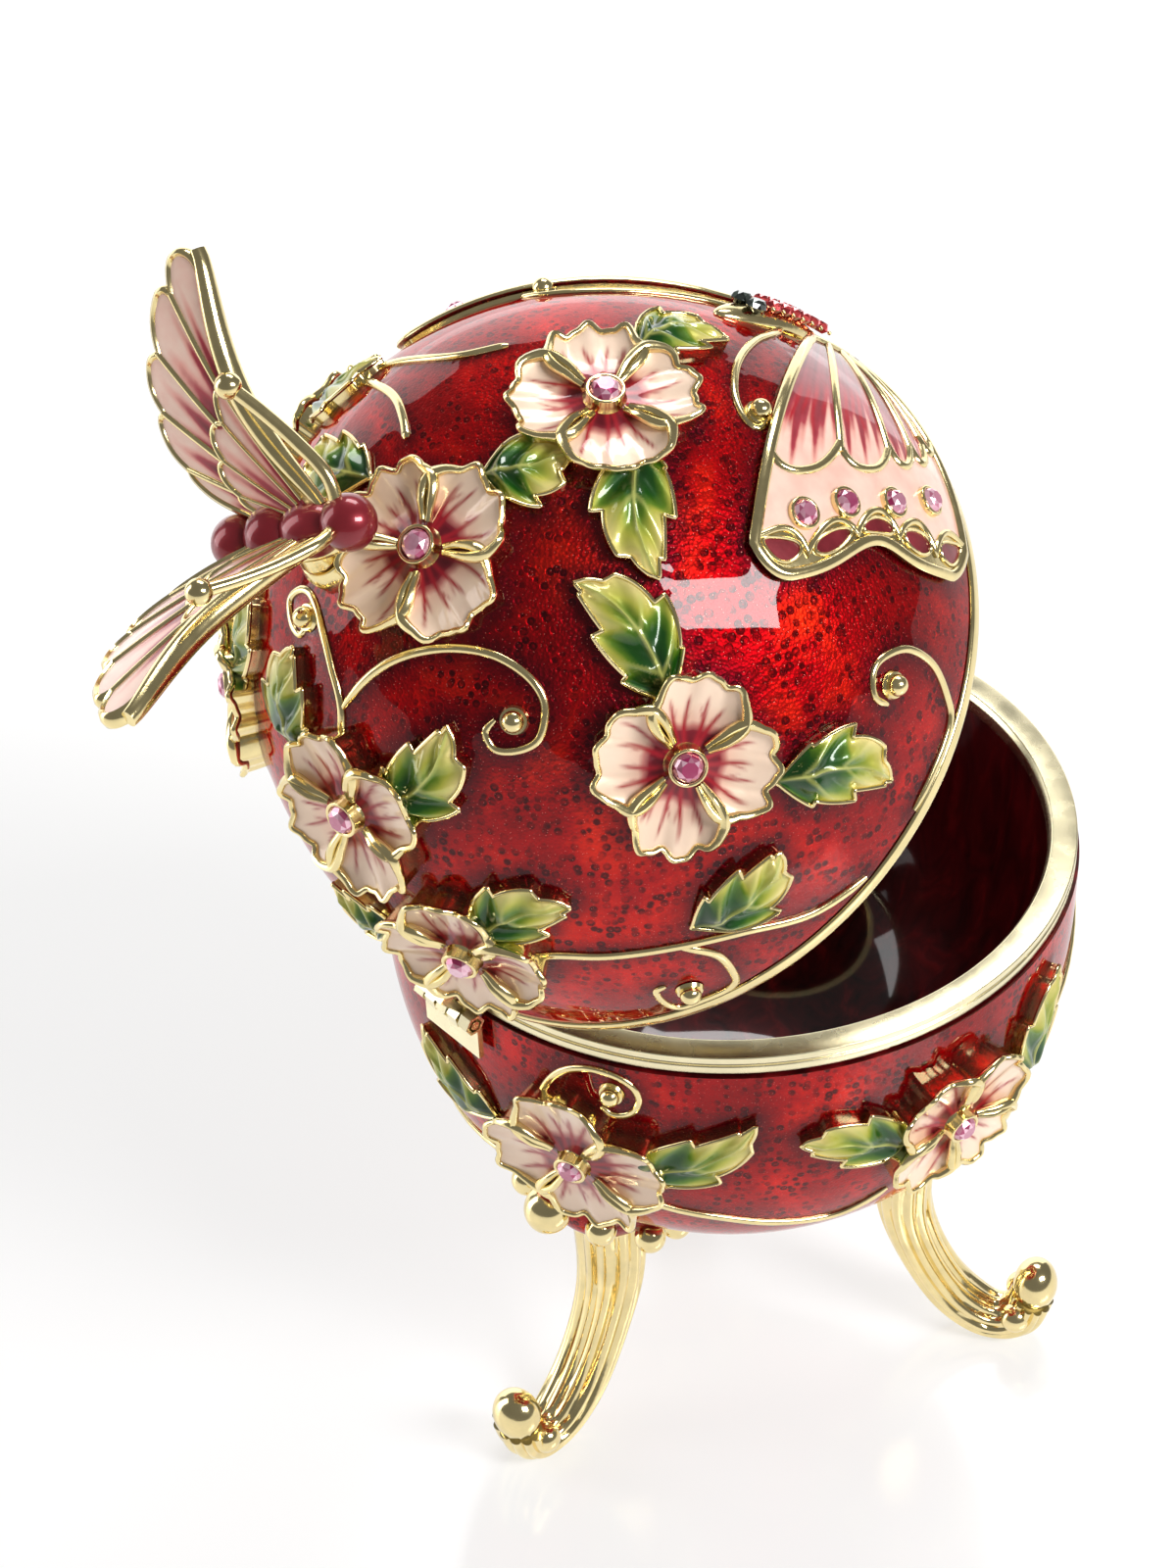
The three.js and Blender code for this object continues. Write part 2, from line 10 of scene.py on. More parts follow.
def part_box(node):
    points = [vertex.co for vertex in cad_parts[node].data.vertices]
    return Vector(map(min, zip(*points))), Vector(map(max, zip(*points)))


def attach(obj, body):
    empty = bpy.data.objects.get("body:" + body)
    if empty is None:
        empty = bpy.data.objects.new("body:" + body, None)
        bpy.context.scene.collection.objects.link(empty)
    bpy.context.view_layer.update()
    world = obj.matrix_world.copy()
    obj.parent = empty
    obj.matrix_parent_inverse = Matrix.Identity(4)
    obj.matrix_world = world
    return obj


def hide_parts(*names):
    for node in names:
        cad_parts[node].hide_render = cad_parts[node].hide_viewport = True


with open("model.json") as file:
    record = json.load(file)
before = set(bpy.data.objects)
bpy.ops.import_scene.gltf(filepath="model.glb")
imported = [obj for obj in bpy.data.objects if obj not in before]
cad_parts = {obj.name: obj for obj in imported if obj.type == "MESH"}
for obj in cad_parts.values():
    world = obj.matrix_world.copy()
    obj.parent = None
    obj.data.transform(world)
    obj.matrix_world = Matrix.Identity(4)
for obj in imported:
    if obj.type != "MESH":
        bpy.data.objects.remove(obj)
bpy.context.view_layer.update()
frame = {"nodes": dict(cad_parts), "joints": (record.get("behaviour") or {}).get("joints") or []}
scene = bpy.context.scene
print("frame loaded")

# Sizes are in millimetres; the frames below turn them into metres where the piece stands.
lidForm = {"radius": 35.2, "height": 41.1, "power": 2.0, "side": 1}
bowlForm = {"radius": 36.3, "height": 41.5, "power": 3.0, "side": -1}
egg = {"wall": 1.8, "hingeReach": 37.6, "lidStand": 4.7, "rimDepth": 2.4, "sunk": 0.7,
       "sharpAngle": 48}

hinge = Vector(frame["joints"][0]["pos_m"])
opening = -frame["joints"][0]["range_deg"][0]
rimLow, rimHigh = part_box("bowl_rim")
eggMiddle = Vector(((rimLow.x + rimHigh.x) / 2, hinge.y - egg["hingeReach"] / 1000, 0))
bowlFrame = Matrix.Translation(eggMiddle + Vector((0, 0, rimHigh.z - egg["rimDepth"] / 1000)))
bowlFrame = bowlFrame @ Matrix.Scale(0.001, 4)
groundFrame = Matrix.Translation(eggMiddle) @ Matrix.Scale(0.001, 4)
lidFrame = Matrix.Translation(Vector((eggMiddle.x, hinge.y, hinge.z)))
lidFrame = lidFrame @ Matrix.Rotation(math.radians(-opening), 4, "X")
lidFrame = lidFrame @ Matrix.Scale(0.001, 4) @ Matrix.Translation((0, -egg["hingeReach"], egg["lidStand"]))


# The forms: a mouth at z = 0 and one pole, up for the lid and down for the bowl.
def radiusAt(form, height):
    return form["radius"] * math.sqrt(max(0, 1 - (abs(height) / form["height"]) ** form["power"]))


def onForm(form, toward):
    across = math.hypot(toward.x, toward.y) / form["radius"]
    along = abs(toward.z) / form["height"]
    power = form["power"]
    reach = 1 / max(across, along)
    for _ in range(9):
        value = (reach * across) ** 2 + (reach * along) ** power - 1
        slope = 2 * across * across * reach + power * along ** power * reach ** (power - 1)
        reach -= value / slope
    point = toward * reach
    steep = power * abs(point.z) ** (power - 1) / form["height"] ** power
    flat = 2 / form["radius"] ** 2
    normal = Vector((point.x * flat, point.y * flat, form["side"] * steep)).normalized()
    return point, normal


def seatAt(form, spot):
    turn = math.radians(spot[0])
    height = form["height"] * math.sin(math.radians(spot[1]))
    radius = radiusAt(form, height)
    toward = Vector((radius * math.sin(turn), radius * math.cos(turn), form["side"] * height))
    point, normal = onForm(form, toward)
    right = Vector((-math.cos(turn), math.sin(turn), 0))
    return {"form": form, "point": point, "normal": normal, "right": right, "up": normal.cross(right)}


# Ornament is drawn flat, x to the right and y up, and bent on to the form with z standing off it.
def layPoint(seat, drawn):
    flat = seat["point"] + seat["right"] * drawn.x + seat["up"] * drawn.y
    point, normal = onForm(seat["form"], flat)
    return point + normal * drawn.z


def flatFrom(seat, spot):
    aim = seatAt(seat["form"], spot)["point"]
    offset = aim * (seat["point"].dot(seat["normal"]) / aim.dot(seat["normal"])) - seat["point"]
    return Vector((offset.dot(seat["right"]), offset.dot(seat["up"]), 0))


def mix(a, b, share):
    return a + (b - a) * share


def smoothLine(points, steps, closed=False):
    # A Catmull-Rom line through the given points.
    count = len(points)
    spans = count if closed else count - 1
    line = []
    for i in range(spans):
        if closed:
            p = [points[(i + k) % count] for k in (-1, 0, 1, 2)]
        else:
            p = [points[min(max(i + k, 0), count - 1)] for k in (-1, 0, 1, 2)]
        for j in range(steps):
            t = j / steps
            line.append(0.5 * (2 * p[1] + (p[2] - p[0]) * t + (2 * p[0] - 5 * p[1] + 4 * p[2] - p[3]) * t * t
                               + (3 * p[1] - p[0] - 3 * p[2] + p[3]) * t * t * t))
    if not closed:
        line.append(points[-1].copy())
    return line


# Bodies: each small part is its own bmesh, placed and then gathered into its piece.
def newBody():
    bm = bmesh.new()
    bm.verts.layers.float.new("tone")
    bm.verts.layers.float.new("vein")
    return bm


def gather(whole, part, placeOf=None, finish=None):
    if placeOf:
        for vert in part.verts:
            vert.co = placeOf(vert.co)
    if finish is not None:
        for face in part.faces:
            face.material_index = finish
    mesh = bpy.data.meshes.new("part")
    part.to_mesh(mesh)
    part.free()
    whole.from_mesh(mesh)
    bpy.data.meshes.remove(mesh)


def paint(bm, tone, vein=0.0):
    toneLayer = bm.verts.layers.float["tone"]
    veinLayer = bm.verts.layers.float["vein"]
    for vert in bm.verts:
        vert[toneLayer] = tone
        vert[veinLayer] = vein


def finishPiece(name, bm, place, body, materials, stands=(), smooth=True):
    bmesh.ops.recalc_face_normals(bm, faces=bm.faces)
    bm.transform(place)
    if place.determinant() < 0:
        bmesh.ops.reverse_faces(bm, faces=bm.faces)
    for face in bm.faces:
        face.smooth = smooth
    mesh = bpy.data.meshes.new(name)
    bm.to_mesh(mesh)
    bm.free()
    piece = bpy.data.objects.new(name, mesh)
    scene.collection.objects.link(piece)
    for material in materials:
        mesh.materials.append(material)
    if smooth:
        mesh.set_sharp_from_angle(angle=math.radians(egg["sharpAngle"]))
    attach(piece, body)
    if stands:
        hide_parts(*stands)
    return piece


def alongNormals(points, normals):
    # A frame at each point of a line that lies on a surface: centre, side and top.
    frames = []
    last = len(points) - 1
    for i, point in enumerate(points):
        ahead = points[min(i + 1, last)] - points[max(i - 1, 0)]
        side = ahead.cross(normals[i]).normalized()
        frames.append((point, side, side.cross(ahead).normalized()))
    return frames


def alongPlane(points, side):
    # The same for a line in one plane, which the given side crosses.
    frames = []
    last = len(points) - 1
    for i, point in enumerate(points):
        ahead = points[min(i + 1, last)] - points[max(i - 1, 0)]
        across = (side - ahead * side.dot(ahead) / ahead.dot(ahead)).normalized()
        frames.append((point, across, across.cross(ahead).normalized()))
    return frames


def sweepBody(frames, sizeAt, sides=10, closed=False):
    # A tube through the frames: a grid rolled up, its seam merged and its ends filled.
    rows = list(frames) + ([frames[0]] if closed else [])
    bm = newBody()
    bmesh.ops.create_grid(bm, x_segments=sides, y_segments=len(rows) - 1, size=1)
    for vert in bm.verts:
        angle = math.pi * (vert.co.x + 1)
        row = round((vert.co.y + 1) / 2 * (len(rows) - 1))
        centre, side, top = rows[row]
        half, rise = sizeAt(row / (len(rows) - 1), angle)
        vert.co = centre + side * (half * math.cos(angle)) + top * (rise * math.sin(angle))
    bmesh.ops.remove_doubles(bm, verts=bm.verts, dist=1e-4)
    bmesh.ops.holes_fill(bm, edges=bm.edges, sides=0)
    return bm


def bandBody(points, normals, half, rise, sides=8, closed=False):
    return sweepBody(alongNormals(points, normals), lambda share, angle: (half, rise), sides, closed)


def sheetBody(across, along, placeAt, foot):
    # A bent sheet with walls down to its foot: the drawn skin is finish 0, the walls finish 1.
    bm = newBody()
    bmesh.ops.create_grid(bm, x_segments=across, y_segments=along, size=1)
    toneLayer = bm.verts.layers.float["tone"]
    veinLayer = bm.verts.layers.float["vein"]
    for vert in bm.verts:
        spot, tone, vein = placeAt(vert.co.x, (vert.co.y + 1) / 2)
        vert.co = spot
        vert[toneLayer] = tone
        vert[veinLayer] = vein
    edges = [edge for edge in bm.edges if edge.is_boundary]
    grown = bmesh.ops.extrude_edge_only(bm, edges=edges)["geom"]
    low = [part for part in grown if isinstance(part, bmesh.types.BMVert)]
    for vert in low:
        vert.co.z = foot
    for part in grown:
        if isinstance(part, bmesh.types.BMFace):
            part.material_index = 1
    lowEdges = [edge for edge in bm.edges if edge.is_boundary]
    filled = bmesh.ops.edgeloop_fill(bm, edges=lowEdges)["faces"]
    for face in filled:
        face.material_index = 1
    return bm


def turnedBody(profile, steps, closed=True):
    bm = newBody()
    verts = [bm.verts.new((radius, 0, height)) for radius, height in profile]
    edges = [bm.edges.new(pair) for pair in zip(verts, verts[1:])]
    if closed:
        edges.append(bm.edges.new((verts[-1], verts[0])))
    bmesh.ops.spin(bm, geom=verts + edges, cent=(0, 0, 0), axis=(0, 0, 1), angle=2 * math.pi, steps=steps,
                   use_merge=True)
    bmesh.ops.remove_doubles(bm, verts=bm.verts, dist=1e-4)
    bmesh.ops.recalc_face_normals(bm, faces=bm.faces)
    return bm


def softenEdges(bm, offset, segments=3, angle=0.5):
    sharp = [edge for edge in bm.edges if edge.is_manifold and edge.calc_face_angle() > angle]
    bmesh.ops.bevel(bm, geom=sharp, offset=offset, segments=segments, profile=0.5, affect="EDGES",
                    material=-1)
    return bm


def ballBody(centre, size, detail=3, turn=None):
    bm = newBody()
    place = Matrix.Translation(centre)
    if turn:
        place = place @ turn
    if isinstance(size, (int, float)):
        size = (size, size, size)
    bmesh.ops.create_icosphere(bm, subdivisions=detail, radius=1, matrix=place @ Matrix.Diagonal((*size, 1)))
    return bm


def cutStone(radius, crown, seed, sides=8):
    # A round brilliant's crown over a short pavilion, every facet with its own random tone, which the
    # crystal materials paint as reflections.
    bm = newBody()
    rings = [(radius * 0.56, crown, sides, 0), (radius * 0.84, crown * 0.6, sides, 0.5),
             (radius, 0.0, 2 * sides, 0.25), (radius * 0.5, -crown * 0.7, sides, 0)]
    for size, height, count, shift in rings:
        place = Matrix.Translation((0, 0, height)) @ Matrix.Rotation(2 * math.pi * shift / sides, 4, "Z")
        bmesh.ops.create_circle(bm, cap_ends=False, segments=count, radius=size, matrix=place)
    bmesh.ops.convex_hull(bm, input=bm.verts)
    bmesh.ops.dissolve_limit(bm, angle_limit=0.01, verts=bm.verts, edges=bm.edges)
    bmesh.ops.split_edges(bm, edges=bm.edges)
    chance = random.Random(seed)
    toneLayer = bm.verts.layers.float["tone"]
    for face in bm.faces:
        tone = chance.random()
        for vert in face.verts:
            vert[toneLayer] = tone
    return bm


def standOn(form, spot, lift, turn=0.0):
    seat = seatAt(form, spot)
    axes = Matrix((seat["right"], seat["up"], seat["normal"])).transposed().to_4x4()
    return Matrix.Translation(seat["point"] + seat["normal"] * lift) @ axes @ Matrix.Rotation(turn, 4, "Z")


# Materials.
def newMaterial(name):
    material = bpy.data.materials.new(name)
    material.use_nodes = True
    nodes = material.node_tree.nodes
    return material, nodes, material.node_tree.links, nodes["Principled BSDF"]


def addRamp(nodes, stops):
    ramp = nodes.new("ShaderNodeValToRGB")
    elements = ramp.color_ramp.elements
    while len(elements) < len(stops):
        elements.new(0.5)
    for element, (place, colour) in zip(elements, stops):
        element.position = place
        element.color = (*colour, 1)
    return ramp


def addNoise(nodes, links, coordinate, scale, detail=2.0, roughness=0.5):
    noise = nodes.new("ShaderNodeTexNoise")
    setInputs(noise, {"Scale": scale, "Detail": detail, "Roughness": roughness})
    links.new(coordinate.outputs["Object"], noise.inputs["Vector"])
    return noise


def addBump(nodes, links, height, strength, distance, normal=None):
    bump = nodes.new("ShaderNodeBump")
    setInputs(bump, {"Strength": strength, "Distance": distance})
    links.new(height, bump.inputs["Height"])
    if normal:
        links.new(normal, bump.inputs["Normal"])
    return bump


def addMath(nodes, links, operation, a, b):
    node = nodes.new("ShaderNodeMath")
    node.operation = operation
    for socket, value in zip(node.inputs, (a, b)):
        if isinstance(value, (int, float)):
            socket.default_value = value
        else:
            links.new(value, socket)
    return node.outputs[0]


def addMix(nodes, links, share, a, b, kind="MIX"):
    node = nodes.new("ShaderNodeMix")
    node.data_type = "RGBA"
    node.blend_type = kind
    for socket, value in ((node.inputs[0], share), (node.inputs[6], a), (node.inputs[7], b)):
        if isinstance(value, (int, float)):
            socket.default_value = value
        elif isinstance(value, tuple):
            socket.default_value = (*value, 1)
        else:
            links.new(value, socket)
    return node.outputs[2]


def setInputs(node, values):
    for name, value in values.items():
        node.inputs[name].default_value = value


def grey(value):
    return (value, value, value)


def addAttribute(nodes, name):
    attribute = nodes.new("ShaderNodeAttribute")
    attribute.attribute_name = name
    return attribute.outputs["Fac"]


def glaze(shader, roughness, coat=1.0, ior=1.5):
    setInputs(shader, {"Coat Weight": coat, "Coat Roughness": roughness, "Coat IOR": ior})


def makeRedEnamel():
    material, nodes, links, shader = newMaterial("redEnamel")
    coordinate = nodes.new("ShaderNodeTexCoord")
    cells = nodes.new("ShaderNodeTexVoronoi")
    setInputs(cells, {"Scale": 1050, "Randomness": 0.6})
    links.new(coordinate.outputs["Object"], cells.inputs["Vector"])
    dots = addRamp(nodes, [(0.10, grey(0.45)), (0.24, grey(0.05)), (0.36, grey(0.1)), (0.48, grey(1))])
    links.new(cells.outputs["Distance"], dots.inputs[0])
    cloud = addNoise(nodes, links, coordinate, 130, 4, 0.6)
    ground = addRamp(nodes, [
        (0.28, (0.20, 0.0001, 0.002)), (0.5, (0.38, 0.0006, 0.003)), (0.72, (0.78, 0.020, 0.003)),
    ])
    links.new(cloud.outputs["Fac"], ground.inputs[0])
    thick = addNoise(nodes, links, coordinate, 420, 2)
    thickMask = addRamp(nodes, [(0.40, grey(0.15)), (0.6, grey(1))])
    links.new(thick.outputs["Fac"], thickMask.inputs[0])
    share = addMath(nodes, links, "SUBTRACT", 1.0, dots.outputs[0])
    share = addMath(nodes, links, "MULTIPLY", share, thickMask.outputs[0])
    dotted = addMix(nodes, links, share, ground.outputs[0], (0.045, 0.0, 0.001))
    # Painted shade: where the tone attribute is high, beside raised work and on the collars, the enamel
    # darkens toward plum.
    reliefShaded = addMix(nodes, links, addAttribute(nodes, "tone"), dotted, (0.045, 0.001, 0.006))
    glints = nodes.new("ShaderNodeTexVoronoi")
    glints.inputs["Scale"].default_value = 3000
    links.new(coordinate.outputs["Object"], glints.inputs["Vector"])
    glintMask = addRamp(nodes, [(0.0, grey(1)), (0.16, grey(0))])
    links.new(glints.outputs["Distance"], glintMask.inputs[0])
    colour = addMix(nodes, links, glintMask.outputs[0], reliefShaded, (1.0, 0.30, 0.24))
    links.new(colour, shader.inputs["Base Color"])
    setInputs(shader, {"Metallic": 0.95, "Specular Tint": (0.9, 0.02, 0.01, 1), "Specular IOR Level": 0.2,
                       "Roughness": 0.46})
    relief = addMath(nodes, links, "MULTIPLY", share, -0.6)
    bump = addBump(nodes, links, relief, 0.6, 0.0003)
    sparkle = addBump(nodes, links, glints.outputs["Distance"], 0.35, 0.0002, bump.outputs[0])
    links.new(sparkle.outputs[0], shader.inputs["Normal"])
    wave = addNoise(nodes, links, coordinate, 110, 1)
    coatBump = addBump(nodes, links, wave.outputs["Fac"], 0.12, 0.0006)
    links.new(coatBump.outputs[0], shader.inputs["Coat Normal"])
    glaze(shader, 0.02, coat=0.85, ior=1.36)
    return material


def makeLacquer():
    material, nodes, links, shader = newMaterial("darkLacquer")
    coordinate = nodes.new("ShaderNodeTexCoord")
    stretch = nodes.new("ShaderNodeMapping")
    stretch.inputs["Scale"].default_value = (1, 1, 0.25)
    links.new(coordinate.outputs["Object"], stretch.inputs["Vector"])
    brush = nodes.new("ShaderNodeTexNoise")
    setInputs(brush, {"Scale": 260, "Detail": 4, "Distortion": 1.2})
    links.new(stretch.outputs[0], brush.inputs["Vector"])
    ramp = addRamp(nodes, [
        (0.3, (0.030, 0.0002, 0.001)), (0.55, (0.10, 0.001, 0.003)), (0.75, (0.24, 0.006, 0.008)),
    ])
    links.new(brush.outputs["Fac"], ramp.inputs[0])
    links.new(ramp.outputs[0], shader.inputs["Base Color"])
    setInputs(shader, {"Metallic": 0.3, "Specular IOR Level": 0.2, "Roughness": 0.4})
    bump = addBump(nodes, links, brush.outputs["Fac"], 0.3, 0.0004)
    links.new(bump.outputs[0], shader.inputs["Normal"])
    glaze(shader, 0.05)
    return material


def makeGold(name, colour, roughness, grain, grainScale):
    material, nodes, links, shader = newMaterial(name)
    coordinate = nodes.new("ShaderNodeTexCoord")
    noise = addNoise(nodes, links, coordinate, grainScale, 3)
    tint = addRamp(nodes, [(0.3, tuple(0.86 * part for part in colour)), (0.7, colour)])
    links.new(noise.outputs["Fac"], tint.inputs[0])
    links.new(tint.outputs[0], shader.inputs["Base Color"])
    rough = nodes.new("ShaderNodeMapRange")
    setInputs(rough, {"To Min": roughness * 0.7, "To Max": roughness * 1.5})
    links.new(noise.outputs["Fac"], rough.inputs["Value"])
    links.new(rough.outputs[0], shader.inputs["Roughness"])
    shader.inputs["Metallic"].default_value = 1.0
    bump = addBump(nodes, links, noise.outputs["Fac"], grain, 0.0003)
    links.new(bump.outputs[0], shader.inputs["Normal"])
    return material


def makePainted(name, stops, veinColour, metallic=0.15, streak=0.12, streakScale=420):
    # Painted enamel in a cell: the ramp reads the tone drawn on the piece, the vein colour lies over it.
    material, nodes, links, shader = newMaterial(name)
    coordinate = nodes.new("ShaderNodeTexCoord")
    noise = addNoise(nodes, links, coordinate, streakScale, 3)
    shift = addMath(nodes, links, "SUBTRACT", noise.outputs["Fac"], 0.5)
    shift = addMath(nodes, links, "MULTIPLY", shift, streak * 2)
    tone = addMath(nodes, links, "ADD", addAttribute(nodes, "tone"), shift)
    ramp = addRamp(nodes, stops)
    links.new(tone, ramp.inputs[0])
    vein = addMath(nodes, links, "MULTIPLY_ADD", noise.outputs["Fac"], 0.6)
    vein.node.inputs[2].default_value = 0.7
    share = addMath(nodes, links, "MULTIPLY", addAttribute(nodes, "vein"), vein)
    share.node.use_clamp = True
    colour = addMix(nodes, links, share, ramp.outputs[0], veinColour)
    links.new(colour, shader.inputs["Base Color"])
    setInputs(shader, {"Metallic": metallic, "Specular IOR Level": 0.2, "Roughness": 0.35})
    bump = addBump(nodes, links, noise.outputs["Fac"], 0.2, 0.0003)
    links.new(bump.outputs[0], shader.inputs["Normal"])
    glaze(shader, 0.04, ior=1.42)
    return material


def makeCrystal(name, dark, light):
    material, nodes, links, shader = newMaterial(name)
    coordinate = nodes.new("ShaderNodeTexCoord")
    noise = addNoise(nodes, links, coordinate, 1500, 1)
    tone = addMath(nodes, links, "MULTIPLY_ADD", noise.outputs["Fac"], 0.25)
    links.new(addAttribute(nodes, "tone"), tone.node.inputs[2])
    # Painted reflections: the random facet tone runs from a dark facet colour to a pale one, standing in for
    # light reflected inside the stone.
    middle = tuple(mix(a, b, 0.45) for a, b in zip(dark, light))
    ramp = addRamp(nodes, [(0.15, dark), (0.7, middle), (1.0, light)])
    links.new(tone, ramp.inputs[0])
    links.new(ramp.outputs[0], shader.inputs["Base Color"])
    setInputs(shader, {"Metallic": 0.45, "Roughness": 0.08})
    glaze(shader, 0.01, ior=1.6)
    return material


redEnamel = makeRedEnamel()
darkLacquer = makeLacquer()
paleGold = makeGold("paleGold", (0.96, 0.80, 0.41), 0.15, 0.10, 500)
castGold = makeGold("castGold", (0.95, 0.79, 0.41), 0.13, 0.12, 420)
creamGold = makeGold("creamGold", (0.98, 0.88, 0.58), 0.24, 0.04, 300)
grainGold = makeGold("grainGold", (0.82, 0.60, 0.26), 0.34, 0.8, 2200)
petalEnamel = makePainted("petalEnamel", [
    (0.0, (0.13, 0.004, 0.012)), (0.16, (0.22, 0.012, 0.024)), (0.34, (0.56, 0.20, 0.17)),
    (0.50, (0.88, 0.56, 0.43)), (1.0, (0.97, 0.74, 0.57)),
], (0.38, 0.010, 0.022))
leafEnamel = makePainted("leafEnamel", [
    (0.0, (0.002, 0.028, 0.004)), (0.22, (0.010, 0.075, 0.004)), (0.38, (0.10, 0.20, 0.010)),
    (0.56, (0.44, 0.44, 0.06)), (1.0, (0.84, 0.70, 0.27)),
], (0.50, 0.52, 0.14))
wingEnamel = makePainted("wingEnamel", [
    (0.0, (0.96, 0.68, 0.56)), (0.32, (0.86, 0.40, 0.33)), (0.55, (0.46, 0.05, 0.07)),
    (1.0, (0.13, 0.004, 0.010)),
], (0.45, 0.008, 0.02), streak=0.2)
roseEnamel = makePainted("roseEnamel", [
    (0.0, (0.16, 0.006, 0.012)), (0.5, (0.27, 0.018, 0.028)), (1.0, (0.46, 0.07, 0.08)),
], (0.25, 0.01, 0.02), metallic=0.35)
pinkCrystal = makeCrystal("pinkCrystal", (0.42, 0.02, 0.12), (0.98, 0.60, 0.72))
redCrystal = makeCrystal("redCrystal", (0.22, 0.0, 0.006), (0.90, 0.10, 0.10))
blackCrystal = makeCrystal("blackCrystal", (0.004, 0.006, 0.005), (0.10, 0.13, 0.11))
print("materials made")

# Places near raised work: the shells raise the enamel into a meniscus there and darken it with painted
# shade.
reliefEdgeSpots = {"lid": [], "base": []}

flowerMake = {"throat": 1.2, "reach": 7.75, "half": 4.3, "full": 6.0, "shoulder": 2.2, "rise": 2.0,
              "wire": 0.30, "bezel": 1.75, "bezelTop": 2.1, "stone": 1.36, "crown": 0.72}


def petalDrawing(phase):
    # One fan petal that points along +y: its place, its tone and its veins for s across and t outwards.
    make = flowerMake
    chance = random.Random(phase)
    wobble = [chance.uniform(-1, 1) for _ in range(8)]
    waves = 2.5 + 0.35 * wobble[7]
    spread = 1 + 0.06 * wobble[6]

    def draw(s, t):
        scallop = math.cos(waves * math.pi * s + 2.2 * wobble[5])
        scallop += 0.3 * math.cos(5.3 * math.pi * s + 3 * wobble[4])
        middle = make["throat"] + t * (make["reach"] - make["throat"])
        half = make["half"] * spread * (1 - (1 - min(1, middle / make["full"])) ** 1.7)
        edge = make["reach"] + 0.2 * wobble[3] - make["shoulder"] * abs(s) ** 3.4 + 0.30 * scallop
        x = s * half * (1 + 0.05 * scallop * t * s * s - 0.10 * t ** 4 * s * s)
        y = make["throat"] + t * (edge - make["throat"])
        lift = 1.15 - 0.35 * t + (make["rise"] - 0.75) * t ** 1.7 + 0.30 * scallop * t ** 2
        lift += 0.85 * abs(s) ** 6 * math.sin(math.pi * min(1, 0.15 + 0.75 * t)) * min(1, 4 * t)
        lift -= 0.40 * (1 - s * s) * math.sin(math.pi * t)
        vein = 0.0
        for k, base in enumerate((-0.62, -0.18, 0.22, 0.64)):
            lean = (base + 0.10 * wobble[k]) * (0.75 + 0.35 * t) + 0.05 * math.sin(5 * t + 3 * wobble[k])
            far = abs(s - lean) * half
            wide = 0.27 - 0.17 * t
            fade = min(1, max(0, (0.80 + 0.10 * wobble[k + 3] - t) / 0.14))
            vein = max(vein, math.exp(-(far / wide) ** 2) * fade)
            far = abs(s - lean - 0.5 * max(0, t - 0.34) * (1 if base < 0 else -1)) * half
            fade = min(1, max(0, (0.60 + 0.10 * wobble[k] - t) / 0.12))
            vein = max(vein, 0.7 * math.exp(-(far / 0.13) ** 2) * fade)
        tone = 0.02 + 1.9 * max(0, t - 0.17 - 0.06 * (1 - s * s)) ** 0.8 + 0.05 * math.cos(3 * s + phase)
        return Vector((x, y, lift)), min(1, tone), vein

    return draw


def addPetal(whole, draw, seat, turn, scale, nearRelief):
    place = Matrix.Rotation(turn, 4, "Z") @ Matrix.Diagonal((scale, scale, 1, 1))
    body = sheetBody(40, 30, draw, -egg["sunk"])
    gather(whole, body, lambda co: layPoint(seat, place @ co))
    outline = [draw(-1, t / 18)[0] for t in range(1, 18)]
    outline += [draw(-1 + 2 * s / 44, 1)[0] for s in range(45)]
    outline += [draw(1, 1 - t / 18)[0] for t in range(1, 18)]
    laid = [layPoint(seat, place @ (spot + Vector((0, 0, 0.04)))) for spot in outline]
    normals = [onForm(seat["form"], spot)[1] for spot in laid]
    wire = flowerMake["wire"]

    def foldSize(share, angle):
        fold = 1 + 0.9 * math.exp(-((min(share, 1 - share) - 0.13) / 0.10) ** 2)
        return wire * fold, wire * 1.1 * fold

    gather(whole, sweepBody(alongNormals(laid, normals), foldSize, 8), finish=1)
    nearRelief.extend(layPoint(seat, place @ Vector((spot.x, spot.y, 0))) for spot in outline[::2])


def addFlower(name, form, place, body, flower, seed, stoneNode, nodeName):
    at = flower["at"]
    seat = seatAt(form, at)
    whole = newBody()
    for k in range(4):
        draw = petalDrawing(seed * 4 + k)
        turn = math.radians(flower["turn"] + 90 * k)
        addPetal(whole, draw, seat, turn, flower.get("scale", 1), reliefEdgeSpots[body])
    make = flowerMake
    outer = make["bezel"]
    top = make["bezelTop"]
    cup = turnedBody([
        (0, 0), (outer + 0.5, 0), (outer + 0.15, 0.9), (outer, 1.2), (outer, top), (outer - 0.32, top),
        (outer - 0.38, top - 0.35), (0, top - 0.4),
    ], 28, closed=False)
    softenEdges(cup, 0.09, 2)
    stand = standOn(form, at, 0.15)
    paint(cup, 0.4)
    gather(whole, cup, lambda co: stand @ co, 1)
    finishPiece(name, whole, place, body, [petalEnamel, paleGold], [nodeName])
    stone = newBody()
    stoneStand = standOn(form, at, top + 0.02, seed)
    gather(stone, cutStone(make["stone"], make["crown"], seed), lambda co: stoneStand @ co)
    finishPiece(name + "_crystal", stone, place, body, [pinkCrystal], [stoneNode],
                smooth=False)


